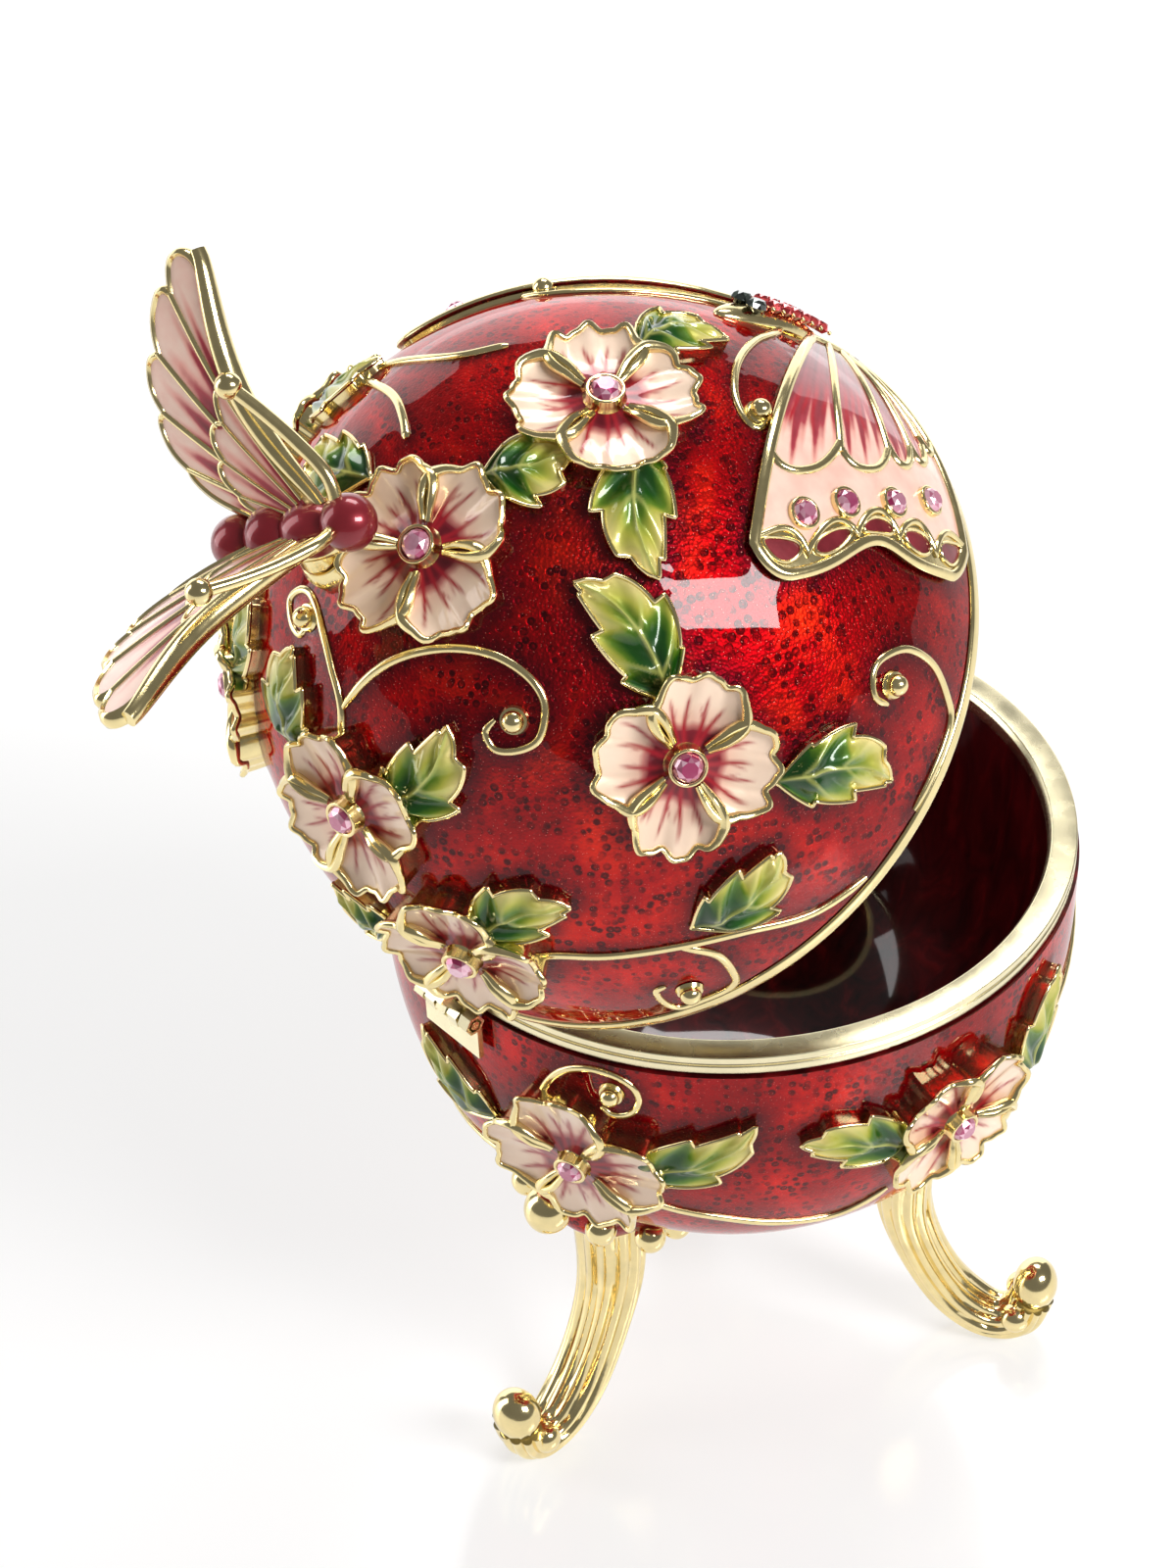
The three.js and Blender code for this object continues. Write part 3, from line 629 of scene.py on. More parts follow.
lidFlowers = [
    {"at": (-81, 36.4), "turn": 30}, {"at": (-156, 57.4), "turn": -12}, {"at": (-74, 81.3), "turn": -6},
    {"at": (-12, 46), "turn": 22}, {"at": (-25, 23), "turn": -12}, {"at": (42, 36), "turn": 50},
    {"at": (92, 34), "turn": -12},
]
bowlFlowers = [
    {"at": (-22, 20.5), "turn": 10, "scale": 1.22}, {"at": (-85, 18.5), "turn": 40, "scale": 1.05},
    {"at": (130, 20), "turn": 0, "scale": 1.05},
]
for i, flower in enumerate(lidFlowers):
    stoneNode = f"lid_flower_stone_{i + 1}"
    addFlower(f"lid_flower_{i + 1}", lidForm, lidFrame, "lid", flower, i + 1, stoneNode, "lid")
for i, flower in enumerate(bowlFlowers):
    stoneNode = f"bowl_flower_stone_{i + 1}"
    addFlower(f"bowl_flower_{i + 1}", bowlForm, bowlFrame, "base", flower, i + 11, stoneNode, "bowl")
print("flowers made")

leafMake = {"width": 8.5, "teeth": 3.2, "notch": 0.74, "edge": 0.75, "rib": 1.75, "lean": 1.5, "wire": 0.21}


def leafDrawing(length, phase):
    make = leafMake
    chance = random.Random(phase + 100)
    shift = [chance.uniform(-0.12, 0.12) for _ in range(2)]
    curl = chance.uniform(0.5, 1.0) * (1 if phase % 2 else -1)

    def toothAt(t, hand):
        # A tooth swells towards the tip of the leaf and then drops back.
        turn = (make["teeth"] * t ** 0.92 + shift[0 if hand < 0 else 1] + 0.2) % 1.0
        return (turn / 0.8) ** 0.9 if turn < 0.8 else (1 - turn) / 0.2

    def draw(s, t):
        tooth = toothAt(t, s)
        swell = 1.50 * (1 - (1 - t) ** 4.0) * (1 - t) ** 0.78
        cut = make["notch"] + (1 - make["notch"]) * tooth
        half = max(0.10, make["width"] / 2 * swell * cut)
        side = abs(s)
        x = s * half + curl * (1.9 * t ** 4 - 0.9 * math.sin(math.pi * t))
        lean = make["lean"] * side ** 1.5 * (0.5 + 0.7 * tooth)
        y = t * length + lean * math.sin(math.pi * min(1, t * 1.02)) ** 0.6
        offset = shift[0 if s < 0 else 1]
        fold = math.cos(2 * math.pi * (make["teeth"] * t ** 0.92 - 0.55 * side + offset + 0.35))
        z = mix(make["rib"], make["edge"], side ** 1.2)
        z += 0.46 * fold * math.sin(math.pi * min(1, side * 0.9 + 0.1)) * (1 - t) ** 0.4
        z += 0.35 * side ** 5 - 0.35 * math.exp(-(side * half / 0.5) ** 2)
        z += 0.25 * math.exp(-(side * half / 0.2) ** 2)
        z = mix(z, 0.9, max(0, t - 0.85) / 0.15)
        z = mix(0.3, z, min(1, t / 0.25))
        # The leaf's own colour runs dark at the root to yellow at the tip and edges; the fold term adds
        # painted light and shade, lighter on pleat crests and darker in the troughs.
        tone = 0.03 + 0.50 * side ** 1.7 + 1.15 * max(0, t - 0.26) ** 1.1 + 0.15 * fold * side
        ridge = math.exp(-((side * half) / 0.15) ** 2) * min(1, 6 * t)
        rib = max(0, fold - 0.86) / 0.14 * min(1, 2.5 * (1 - side)) * 0.55
        return Vector((x, y, max(0.3, z))), min(1, max(0, tone)), max(ridge, rib)

    return draw


def addLeaf(name, form, place, body, start, end, seed, nodeName):
    seat = seatAt(form, start)
    tip = flatFrom(seat, end)
    draw = leafDrawing(tip.length, seed)
    turn = Matrix.Rotation(math.atan2(tip.y, tip.x) - math.pi / 2, 4, "Z")
    whole = newBody()
    gather(whole, sheetBody(28, 80, draw, -egg["sunk"]), lambda co: layPoint(seat, turn @ co))
    steps = 84
    outline = [draw(-1, t / steps)[0] for t in range(steps + 1)]
    outline += [draw(1, 1 - t / steps)[0] for t in range(1, steps + 1)]
    laid = [layPoint(seat, turn @ (spot + Vector((0, 0, 0.03)))) for spot in outline]
    normals = [onForm(form, spot)[1] for spot in laid]
    gather(whole, bandBody(laid, normals, leafMake["wire"], leafMake["wire"] * 1.1, closed=True), finish=1)
    reliefEdgeSpots[body].extend(layPoint(seat, turn @ Vector((spot.x, spot.y, 0))) for spot in outline[::3])
    finishPiece(name, whole, place, body, [leafEnamel, paleGold], [nodeName])


lidLeaves = [
    ((-88, 42.5), (-104.5, 59.5)), ((-87, 24.5), (-99, 10.5)), ((-61, 16.5), (-79, 16)),
    ((-29.5, 27), (-48.5, 31.5)), ((-143, 54.5), (-107.5, 53.5)), ((-170, 48.5), (-170.5, 35)),
    ((-141, 76.5), (-137, 64.5)),
    ((104, 82.5), (90, 66.5)), ((-21, 48), (-48, 56)), ((4, 50), (20, 63)), ((37, 42), (49, 57)),
    ((-12, 24.5), (1, 26)), ((98, 44), (118, 55.4)), ((98, 24.4), (110, 10.2)),
]
bowlLeaves = [
    ((-28.5, 19), (-52, 10)), ((-7, 20), (10.5, 12.5)), ((-78, 19), (-58.5, 11)), ((-101, 23), (-108, 4)),
    ((136, 19), (158, 10)), ((124, 19), (102, 10)),
]
for i, (start, end) in enumerate(lidLeaves):
    addLeaf(f"lid_leaf_{i + 1}", lidForm, lidFrame, "lid", start, end, i, "lid")
for i, (start, end) in enumerate(bowlLeaves):
    addLeaf(f"bowl_leaf_{i + 1}", bowlForm, bowlFrame, "base", start, end, i + 20, "bowl")
print("leaves made")

wireMake = {"half": 0.45, "rise": 0.34, "bead": 1.0, "steps": 8, "lift": 0.15, "beadLift": 0.6}
lidScrolls = [
    {"line": [(-9, 52), (-9, 60.5), (-2, 65.8), (9, 69.6), (22, 71.3), (31, 70), (33, 66.7), (25, 65.2),
              (19, 65.5), (17, 67.1)], "bead": (19, 68.7)},
    {"line": [(-9, 60.5), (-21, 66.5), (-37, 69), (-56, 67.9), (-68, 63.9), (-72, 58.9), (-71, 55),
              (-67, 52.4), (-63, 51.2), (-58, 51.7), (-54, 53.2), (-54, 55.7), (-58, 56.6)],
     "bead": (-62, 55.2)},
    {"line": [(-95, 0.5), (-102, 0.5), (-109, 0.8), (-112, 3.2), (-115, 7.9), (-115, 13.4), (-112, 17.3),
              (-109, 18.2), (-106, 16.6), (-106, 14.1)], "bead": (-109, 14.3)},
    {"line": [(-30, 20.4), (-39, 21), (-47, 18.2), (-57, 14.5), (-66, 10), (-74, 4.1), (-83, 0.8)]},
    {"line": [(-57, 14.5), (-60, 9.3), (-59, 3.6), (-57, 0.9), (-52, 0.7), (-48, 0.9), (-47, 3.4),
              (-48, 7.2), (-50, 7.7)], "bead": (-52, 4.6)},
    {"line": [(112, 52), (123, 63.8), (131, 69.4), (138, 74.6), (144, 78.6)]},
    {"line": [(109, 46), (122, 55), (139, 61), (153, 62), (165, 59)]},
    {"line": [(176, 10), (-175, 19.9), (-169, 28.9), (-162, 35.4), (-154, 38.8), (-148, 39), (-146, 37.4),
              (-148, 35.7)], "bead": (-149.5, 36.6)},
    {"line": [(184, 10), (175, 19.9), (169, 28.9), (162, 35.4), (154, 38.8), (148, 39), (146, 37.4),
              (148, 35.7)], "bead": (149.5, 36.6)},
    {"line": [(70, 28), (66, 17), (69, 9), (77, 7), (82, 12), (79, 17), (74.5, 16)], "bead": (76, 12)},
    {"line": [(50, 24), (62, 29), (74, 32)]},
]
bowlScrolls = [
    {"line": [(-15, 13), (-17.3, 7.6), (-20.3, 3.6), (-24.4, 1.5), (-28.6, 1.3), (-32, 2.7), (-33.2, 5.3),
              (-31.8, 8), (-29, 9), (-27, 7.9)], "bead": (-28.8, 5)},
    {"line": [(-112, 18), (-137, 12), (-146, 5), (-152, 5), (-154, 9), (-151, 12.5), (-147, 12)],
     "bead": (-149, 8.5)},
    {"line": [(104, 21), (98, 10), (92, 4.5), (86, 4.5), (83, 8), (85, 11.5), (89, 11)], "bead": (88, 7)},
    {"line": [(-30, 27), (-37, 29.8), (-46, 32.2), (-56, 35.6), (-67, 36.8), (-75, 31.6)]},
    {"line": [(-95, 31.6), (-112, 36.8), (-150, 40), (178, 40), (140, 31)]},
    {"line": [(118, 31), (80, 38), (62, 40), (30, 38), (-8, 31)]},
]


def addScrolls(name, form, place, body, scrolls, nodeName):
    whole = newBody()
    for scroll in scrolls:
        spots = [seatAt(form, spot)["point"] for spot in scroll["line"]]
        line = smoothLine(spots, wireMake["steps"])
        laid = [onForm(form, spot) for spot in line]
        points = [point + normal * wireMake["lift"] for point, normal in laid]
        normals = [normal for _, normal in laid]
        curled = "bead" in scroll

        def sizeAt(share, angle):
            thin = 1 - 0.25 * share if curled else 1
            thin *= min(1, 0.55 + 8 * (1 - share), 0.55 + 8 * share)
            return wireMake["half"] * thin, wireMake["rise"] * thin

        gather(whole, sweepBody(alongNormals(points, normals), sizeAt, 10))
        reliefEdgeSpots[body].extend(point for point, _ in laid[::2])
        if curled:
            seat = seatAt(form, scroll["bead"])
            bead = seat["point"] + seat["normal"] * wireMake["beadLift"]
            gather(whole, ballBody(bead, wireMake["bead"]))
            foot = standOn(form, scroll["bead"], 0.1)
            rim = turnedBody([(0, 0), (1.35, 0), (1.2, 0.3), (0, 0.4)], 24, closed=False)
            gather(whole, rim, lambda co: foot @ co)
    finishPiece(name, whole, place, body, [paleGold], [nodeName])


addScrolls("lid_scrolls", lidForm, lidFrame, "lid", lidScrolls, "lid")
addScrolls("bowl_scrolls", bowlForm, bowlFrame, "base", bowlScrolls, "bowl")
print("scrolls made")

wingMake = {"inner": 5, "lower": 49, "upper": 64, "low": 3, "rootTop": 13, "top": 40, "raise": 0.8,
            "wave": 4.5, "stone": 1.18, "crown": 0.65}
fanWalls = (0.0, 0.11, 0.23, 0.39, 0.66, 1.0)
fanEnds = (0.54, 0.62, 0.66, 0.70, 0.68)
moonMake = {"count": 5, "out": 0.936, "wide": 0.074, "tall": 0.036, "arch": 0.085, "line": 0.948}
wingStones = [(-129, 33.5), (-133, 27), (-136, 18.5), (-139.5, 10.5)]


def wingSpot(out, up, height, hand):
    make = wingMake
    lower = mix(make["inner"], make["lower"], out)
    upper = mix(make["inner"], make["upper"], out)
    crest = mix(make["rootTop"], make["top"], 1 - (1 - out) ** 2.6)
    wave = make["wave"] * math.exp(-((up - 0.52) / 0.17) ** 2) * max(0, out) ** 6
    corner = 7 * (max(0, up - 0.84) / 0.16) ** 2 + 5 * (max(0, 0.12 - up) / 0.12) ** 2
    lobe = (1.6 - corner) * max(0, out) ** 8 - wave
    azimuth = 180 - hand * (lower + (upper - lower) * up ** 1.6 + lobe)
    seat = seatAt(lidForm, (azimuth, mix(make["low"], crest, up)))
    return seat["point"] + seat["normal"] * height, seat["normal"]


def archLine(up):
    return moonMake["line"] - moonMake["arch"] * abs(math.sin(moonMake["count"] * math.pi * up)) ** 0.7


def inMoon(out, up):
    make = moonMake
    middle = (math.floor(up * make["count"]) + 0.5) / make["count"]
    return ((up - middle) / make["wide"]) ** 2 + ((out - make["out"]) / make["tall"]) ** 2 < 1


def wingTone(out, up):
    if out > archLine(up):
        return 0.92
    for k in range(5):
        low, high = fanWalls[k], fanWalls[k + 1]
        if low <= up <= high:
            middle = (up - low) / (high - low)
            end = fanEnds[k] - 0.08 * (2 * middle - 1) ** 2
            if out < end:
                far = out / end
                streak = 0.16 * math.sin(19 * middle + 9 * k) + 0.10 * math.sin(41 * middle + 5 * k)
                plum = 0.98 - 0.30 * far - 0.9 * max(0, far - (0.66 if k > 2 else 0.84) + streak * 0.8) * 3
                return max(0.05, plum + streak * (1 - far) * 0.5)
    return 0.05


def addWing(name, hand):
    whole = newBody()
    lift = wingMake["raise"]

    def draw(s, t):
        out, up = t, (s + 1) / 2
        streak = 0.0
        for k in (3, 4):
            span = fanWalls[k + 1] - fanWalls[k]
            share = out / fanEnds[k]
            middle = (up - fanWalls[k]) / span
            for place, reach in ((0.22, 0.72), (0.42, 0.82), (0.58, 0.70), (0.76, 0.78)):
                far = (middle - place - 0.03 * math.sin(30 * out)) * span * 60 * out
                fade = min(1, max(0, (share - 0.45) / 0.1)) * min(1, max(0, (reach - share) / 0.08))
                streak = max(streak, math.exp(-(far / 0.42) ** 2) * fade)
        return Vector((out, up, lift)), wingTone(out, up), streak

    def place(co):
        return wingSpot(co.x, co.y, co.z, hand)[0]

    plate = sheetBody(120, 96, draw, -egg["sunk"])
    for face in plate.faces:
        centre = face.calc_center_median()
        if centre.x > archLine(centre.y) and not inMoon(centre.x, centre.y):
            face.material_index = 1
    gather(whole, plate, place)

    def band(spots, half, rise, closed=False):
        laid = [wingSpot(out, up, lift + 0.05, hand) for out, up in spots]
        gather(whole, bandBody([p for p, _ in laid], [n for _, n in laid], half, rise, 8, closed), finish=1)

    edge = [(0.02 + 0.98 * i / 20, 0.0) for i in range(20)] + [(1, i / 60) for i in range(61)]
    edge += [(1 - 0.98 * i / 20, 1.0) for i in range(1, 21)] + [(0.02, 1 - i / 8) for i in range(1, 8)]
    band(edge, 0.56, 0.36, True)
    for k, wall in enumerate(fanWalls[1:-1]):
        reach = min(fanEnds[k], fanEnds[k + 1]) - 0.05
        band([(0.03 + (reach - 0.03) * i / 14, wall) for i in range(15)], 0.40, 0.30)
    for k in range(5):
        low, high = fanWalls[k], fanWalls[k + 1]
        arc = [(fanEnds[k] - 0.09 * abs(2 * i / 14 - 1) ** 2.4, mix(low, high, i / 14)) for i in range(15)]
        band(arc, 0.42, 0.30)
    band([(archLine(i / 100) + 0.006, i / 100) for i in range(101)], 0.34, 0.28)
    for k in range(moonMake["count"]):
        ring = []
        for i in range(24):
            angle = 2 * math.pi * i / 24
            ring.append((moonMake["out"] + moonMake["tall"] * math.sin(angle),
                         (k + 0.5) / moonMake["count"] + moonMake["wide"] * math.cos(angle)))
        band(ring, 0.20, 0.24, True)
    reliefEdgeSpots["lid"].extend(wingSpot(out, up, 0, hand)[0] for out, up in edge)
    for azimuth, rise in wingStones:
        profile = [(0, 0), (1.5, 0), (1.5, 0.85), (1.2, 0.9), (1.15, 0.6), (0, 0.55)]
        cup = turnedBody(profile, 24, closed=False)
        stand = standOn(lidForm, (hand * azimuth, rise), lift - 0.3)
        gather(whole, softenEdges(cup, 0.08, 2), lambda co: stand @ co, 1)
    finishPiece(name, whole, lidFrame, "lid", [wingEnamel, paleGold], ["lid"])
    side = "left" if hand == 1 else "right"
    for i, (azimuth, rise) in enumerate(wingStones):
        stone = newBody()
        stand = standOn(lidForm, (hand * azimuth, rise), lift + 0.5, i)
        gather(stone, cutStone(wingMake["stone"], wingMake["crown"], 40 + i), lambda co: stand @ co)
        finishPiece(f"{name}_crystal_{i + 1}", stone, lidFrame, "lid", [pinkCrystal],
                    [f"wing_stone_{side}_{i + 1}"], smooth=False)


addWing("relief_wing_left", 1)
addWing("relief_wing_right", -1)


reliefMake = {"at": (180, 16.4), "ridge": (2.3, 8.5, 1.5), "claw": 0.24, "claws": 7, "rows": 6, "step": 1.5}


def addReliefBody():
    make = reliefMake
    seat = seatAt(lidForm, make["at"])
    whole = newBody()
    ridge = ballBody(Vector((0, 0, 0)), make["ridge"], 4)
    gather(whole, ridge, lambda co: layPoint(seat, co))
    for i in range(make["claws"]):
        for hand in (-1, 1):
            for k in range(3):
                across = hand * (0.85 + 0.75 * math.cos(2.1 * k))
                claw = Vector((across, -6.2 + make["step"] * i + 0.75 * math.sin(2.1 * k), 1.75))
                gather(whole, ballBody(layPoint(seat, claw), make["claw"], 1))
    finishPiece("relief_body", whole, lidFrame, "lid", [paleGold], ["lid"])
    stones = newBody()

    def setAt(x, y, z):
        centre = layPoint(seat, Vector((x, y, z)))
        turn = Vector((0, 0, 1)).rotation_difference(onForm(lidForm, centre)[1])
        return Matrix.Translation(centre) @ turn.to_matrix().to_4x4()

    for i in range(make["rows"]):
        for hand in (-1, 1):
            place = setAt(hand * 0.85, -5.6 + make["step"] * i, 1.75)
            gather(stones, cutStone(0.84, 0.62, 60 + 2 * i + hand, 6), lambda co: place @ co)
    for hand in (-1, 1):
        place = setAt(hand * 0.95, 4.4, 1.5) @ Matrix.Diagonal((0.9, 1.35, 1, 1))
        gather(stones, cutStone(1.0, 0.7, 80 + hand, 8), lambda co: place @ co, 1)
    finishPiece("relief_body_stones", stones, lidFrame, "lid", [redCrystal, blackCrystal],
                ["butterfly_body_stones"], smooth=False)


addReliefBody()
print("relief butterfly made")

finialMake = {"at": (28, 78), "heading": -123.5, "lift": 6.4, "seat": 2.2, "gap": 0.3, "wingTilt": -33.5,
              "wingTurn": 19.6, "feeler": 0.62, "feelerTip": 1.2}


def finialPlace():
    perch = seatAt(lidForm, finialMake["at"])["point"] + Vector((0, 0, finialMake["lift"]))
    return Matrix.Translation(perch) @ Matrix.Rotation(math.radians(-finialMake["heading"]), 4, "Z")


wingLine = [Vector(spot) for spot in (
    (24.4, -2.0, 0), (25.1, -0.3, 0), (24.3, 1.7, 0), (22.5, 4.3, 0), (19.1, 7.8, 0), (15.4, 9.8, 0),
    (11.0, 10.5, 0), (6.4, 8.8, 0), (2.4, 5.4, 0),
)]
wingEdge = smoothLine(wingLine, 12)
outerWalls = (0.0, 0.27, 0.46, 0.62, 0.78, 1.0)
innerWalls = (0.0, 0.24, 0.43, 0.62, 0.80, 1.0)


def finialWingSpot(t, s):
    # Fan of the standing wing: t out from the root, s from the leading edge round to the tail.
    place = s * (len(wingEdge) - 1)
    low = min(int(place), len(wingEdge) - 2)
    rim = wingEdge[low].lerp(wingEdge[low + 1], place - low)
    root = Vector((0.4, mix(-0.9, 1.6, s), 0))
    spot = root.lerp(rim, t)
    bulge = 2.4 * math.sin(math.pi * min(1, t * 1.02)) ** 1.2 * (1 - s) ** 3
    return spot + Vector((0, bulge, 0))


def cellAt(walls, share):
    # Which cell a share of the fan falls in, and how far across it.
    for k in range(len(walls) - 1):
        if share <= walls[k + 1]:
            return k, (share - walls[k]) / (walls[k + 1] - walls[k])
    return len(walls) - 2, 1.0


def innerEnd(share):
    return 0.56 - 0.06 * abs(2 * cellAt(innerWalls, share)[1] - 1) ** 2.5


def outerEnd(share):
    return 1 - 0.075 * abs(2 * cellAt(outerWalls, share)[1] - 1) ** 3


def finialWing(whole, hand):
    def draw(s, t):
        share = (s + 1) / 2
        far = t * outerEnd(share)
        spot = finialWingSpot(far, share)
        end = innerEnd(share)
        if t < end:
            k, across = cellAt(innerWalls, share)
            tone = 0.80 - 0.75 * t / end + 0.16 * math.sin(9 * across + 4 * k)
        else:
            k, across = cellAt(outerWalls, share)
            tone = 0.74 - 1.15 * (t - end) / (1 - end) + 0.26 * math.sin(11 * across + 5 * k)
        grain = -1.0 if share < 0.2 and t < 0.46 else 0.0
        return Vector((spot.x, spot.y, 0.62)), max(0.02, min(1, tone)), grain

    turn = Matrix.Rotation(math.radians(finialMake["wingTilt"]), 4, "Y")
    turn = turn @ Matrix.Diagonal((1, -1, 1, 1))
    turn = turn @ Matrix.Rotation(math.radians(finialMake["wingTurn"]), 4, "Z")
    place = Matrix.Diagonal((hand, 1, 1, 1)) @ Matrix.Translation((1, 2.4, 0.6)) @ turn

    def bend(co):
        return place @ Vector((co.x, co.y, co.z - 0.0016 * (co.x - 6) ** 2 - 0.012 * co.y ** 2))

    plate = sheetBody(96, 60, draw, -0.5)
    veinLayer = plate.verts.layers.float["vein"]
    for face in plate.faces:
        if face.calc_center_median().z < 0 or min(vert[veinLayer] for vert in face.verts) < 0:
            face.material_index = 2
    for vert in plate.verts:
        vert[veinLayer] = 0.0
    gather(whole, plate, bend)
    normal = (place.to_3x3() @ Vector((0, 0, 1))).normalized()

    def band(spots, half, rise, height=0.66):
        points = [bend(Vector((spot.x, spot.y, height))) for spot in spots]
        gather(whole, bandBody(points, [normal] * len(points), half, rise), finish=1)

    lead = [finialWingSpot(i / 30, 0) for i in range(31)]
    points = [bend(Vector((spot.x, spot.y - 0.25, 0.0))) for spot in lead]

    def leadSize(share, angle):
        wide = 0.62 + 0.62 * math.sin(math.pi * min(1, share * 0.93)) ** 0.8
        return wide * 0.8, wide

    gather(whole, sweepBody(alongNormals(points, [normal] * len(points)), leadSize, 14), finish=1)
    rim = [finialWingSpot(outerEnd(i / 120), i / 120) for i in range(121)]
    band(rim, 0.44, 0.82, 0.05)
    for wall in outerWalls[1:-1]:
        band([finialWingSpot(mix(0.52, 0.94, i / 12), wall) for i in range(13)], 0.28, 0.2)
    for wall in innerWalls[1:-1]:
        band([finialWingSpot(mix(0.05, 0.50, i / 12), wall) for i in range(13)], 0.17, 0.18)
    band([finialWingSpot(innerEnd(i / 90), i / 90) for i in range(91)], 0.26, 0.2)


def addFinial():
    make = finialMake
    place = finialPlace()
    whole = newBody()
    lobes = [
        ((0, 6.0, 0.3), (2.55, 2.5, 2.5)), ((0, 1.9, 0), (2.5, 3.2, 2.4)),
        ((0, -2.2, -0.1), (2.8, 2.7, 2.6)), ((0, -6.1, -0.4), (2.55, 2.6, 2.4)),
    ]
    for i, (centre, size) in enumerate(lobes):
        ball = ballBody(Vector(centre), size, 4)
        paint(ball, 0.35 + 0.1 * (i % 2))
        gather(whole, ball, finish=3)
    finialWing(whole, 1)
    finialWing(whole, -1)
    for hand in (-1, 1):
        line = [Vector(spot) for spot in (
            (hand * 0.8, 5.6, 1.4), (hand * 3.2, 5.4, 3.4), (hand * 5.6, 3.4, 5.6), (hand * 7.7, 1.2, 8.0),
            (hand * 9.3, -0.8, 10.2),
        )]
        points = smoothLine(line, 8)
        thick = make["feeler"]
        feeler = sweepBody(alongPlane(points, Vector((1, 0, 0))), lambda share, angle: (thick, thick), 12)
        gather(whole, feeler, finish=1)
        gather(whole, ballBody(points[-1], make["feelerTip"]), finish=1)
    drop = make["lift"] - make["seat"] - make["gap"]
    profile = [(0, 0), (1.4, 0), (1.5, -drop * 0.5), (2.3, -drop + 0.2), (2.3, -drop), (0, -drop)]
    post = turnedBody(profile, 32, closed=False)
    gather(whole, post, finish=1)
    cradle = ballBody(Vector((0, 0.5, -1.6)), (2.2, 5.6, 1.2), 3)
    gather(whole, cradle, finish=1)
    finishPiece("finial_butterfly_dressed", whole, lidFrame @ place, "lid",
                [wingEnamel, paleGold, grainGold, roseEnamel], ["finial_butterfly"])
    perch = seatAt(lidForm, make["at"])["point"]
    top = make["seat"]
    profile = [(0, -0.9), (3.0, -0.9), (2.9, 1.2), (2.5, 2.0), (2.5, top), (0, top)]
    seat = softenEdges(turnedBody(profile, 40, closed=False), 0.2, 2)
    seatFrame = lidFrame @ Matrix.Translation(perch)
    finishPiece("finial_seat", seat, seatFrame, "lid", [paleGold], ["lid"])


addFinial()
print("finial made")

feetMake = {"turn": -5, "radius": 31.3, "top": 20, "collarDrop": 5, "reeds": 12}


def collarDepth():
    share = (feetMake["top"] / bowlForm["radius"]) ** 2
    return bowlForm["height"] * (1 - share) ** (1 / bowlForm["power"])


def addFoot(name, azimuth):
    make = feetMake
    top = rimHigh.z * 1000 - egg["rimDepth"] - collarDepth() - make["collarDrop"] + 1.2
    out = make["radius"]
    line = [Vector((0, reach, height)) for reach, height in (
        (make["top"], top), (make["top"], 20), (make["top"] + 1.8, 13), (make["top"] + 5.2, 6.6),
        (out - 2.2, 2.9), (out + 0.8, 2.2), (out + 3, 3.8), (out + 4, 6.8),
    )]
    points = smoothLine(line, 10)

    def sizeAt(share, angle):
        reed = 1 - 0.17 * (1 - abs(math.cos(make["reeds"] * angle / 2 + 0.5 * math.sin(5 * share))) ** 0.6)
        flare = math.exp(-(share / 0.20) ** 2)
        swell = 1 + 0.36 * flare - 0.16 * math.exp(-((share - 0.70) / 0.16) ** 2)
        return 3.5 * swell * reed, 2.7 * (1 + 0.30 * flare - 0.06 * share) * reed

    whole = newBody()
    gather(whole, sweepBody(alongPlane(points, Vector((1, 0, 0))), sizeAt, 72))
    toes = [((0, out + 4.2, 8.4), (2.9, 2.5, 3.2)), ((2.5, out + 2.4, 4.9), (1.7, 1.7, 1.7)),
            ((-2.5, out + 2.4, 4.9), (1.7, 1.7, 1.7))]
    for centre, size in toes:
        gather(whole, ballBody(Vector(centre), size, 4))
    turn = Matrix.Rotation(-math.radians(azimuth), 4, "Z")
    low = min(vert.co.z for vert in whole.verts)
    for vert in whole.verts:
        vert.co.z = max(0, vert.co.z - low - 0.15)
    finishPiece(name + "_cast", whole, groundFrame @ turn, "base", [castGold], [name])


collarMake = {"reach": 9.4, "rise": 3.3, "scallop": 0.075, "dropReach": 8.2, "dropLift": 2.5, "count": 9}


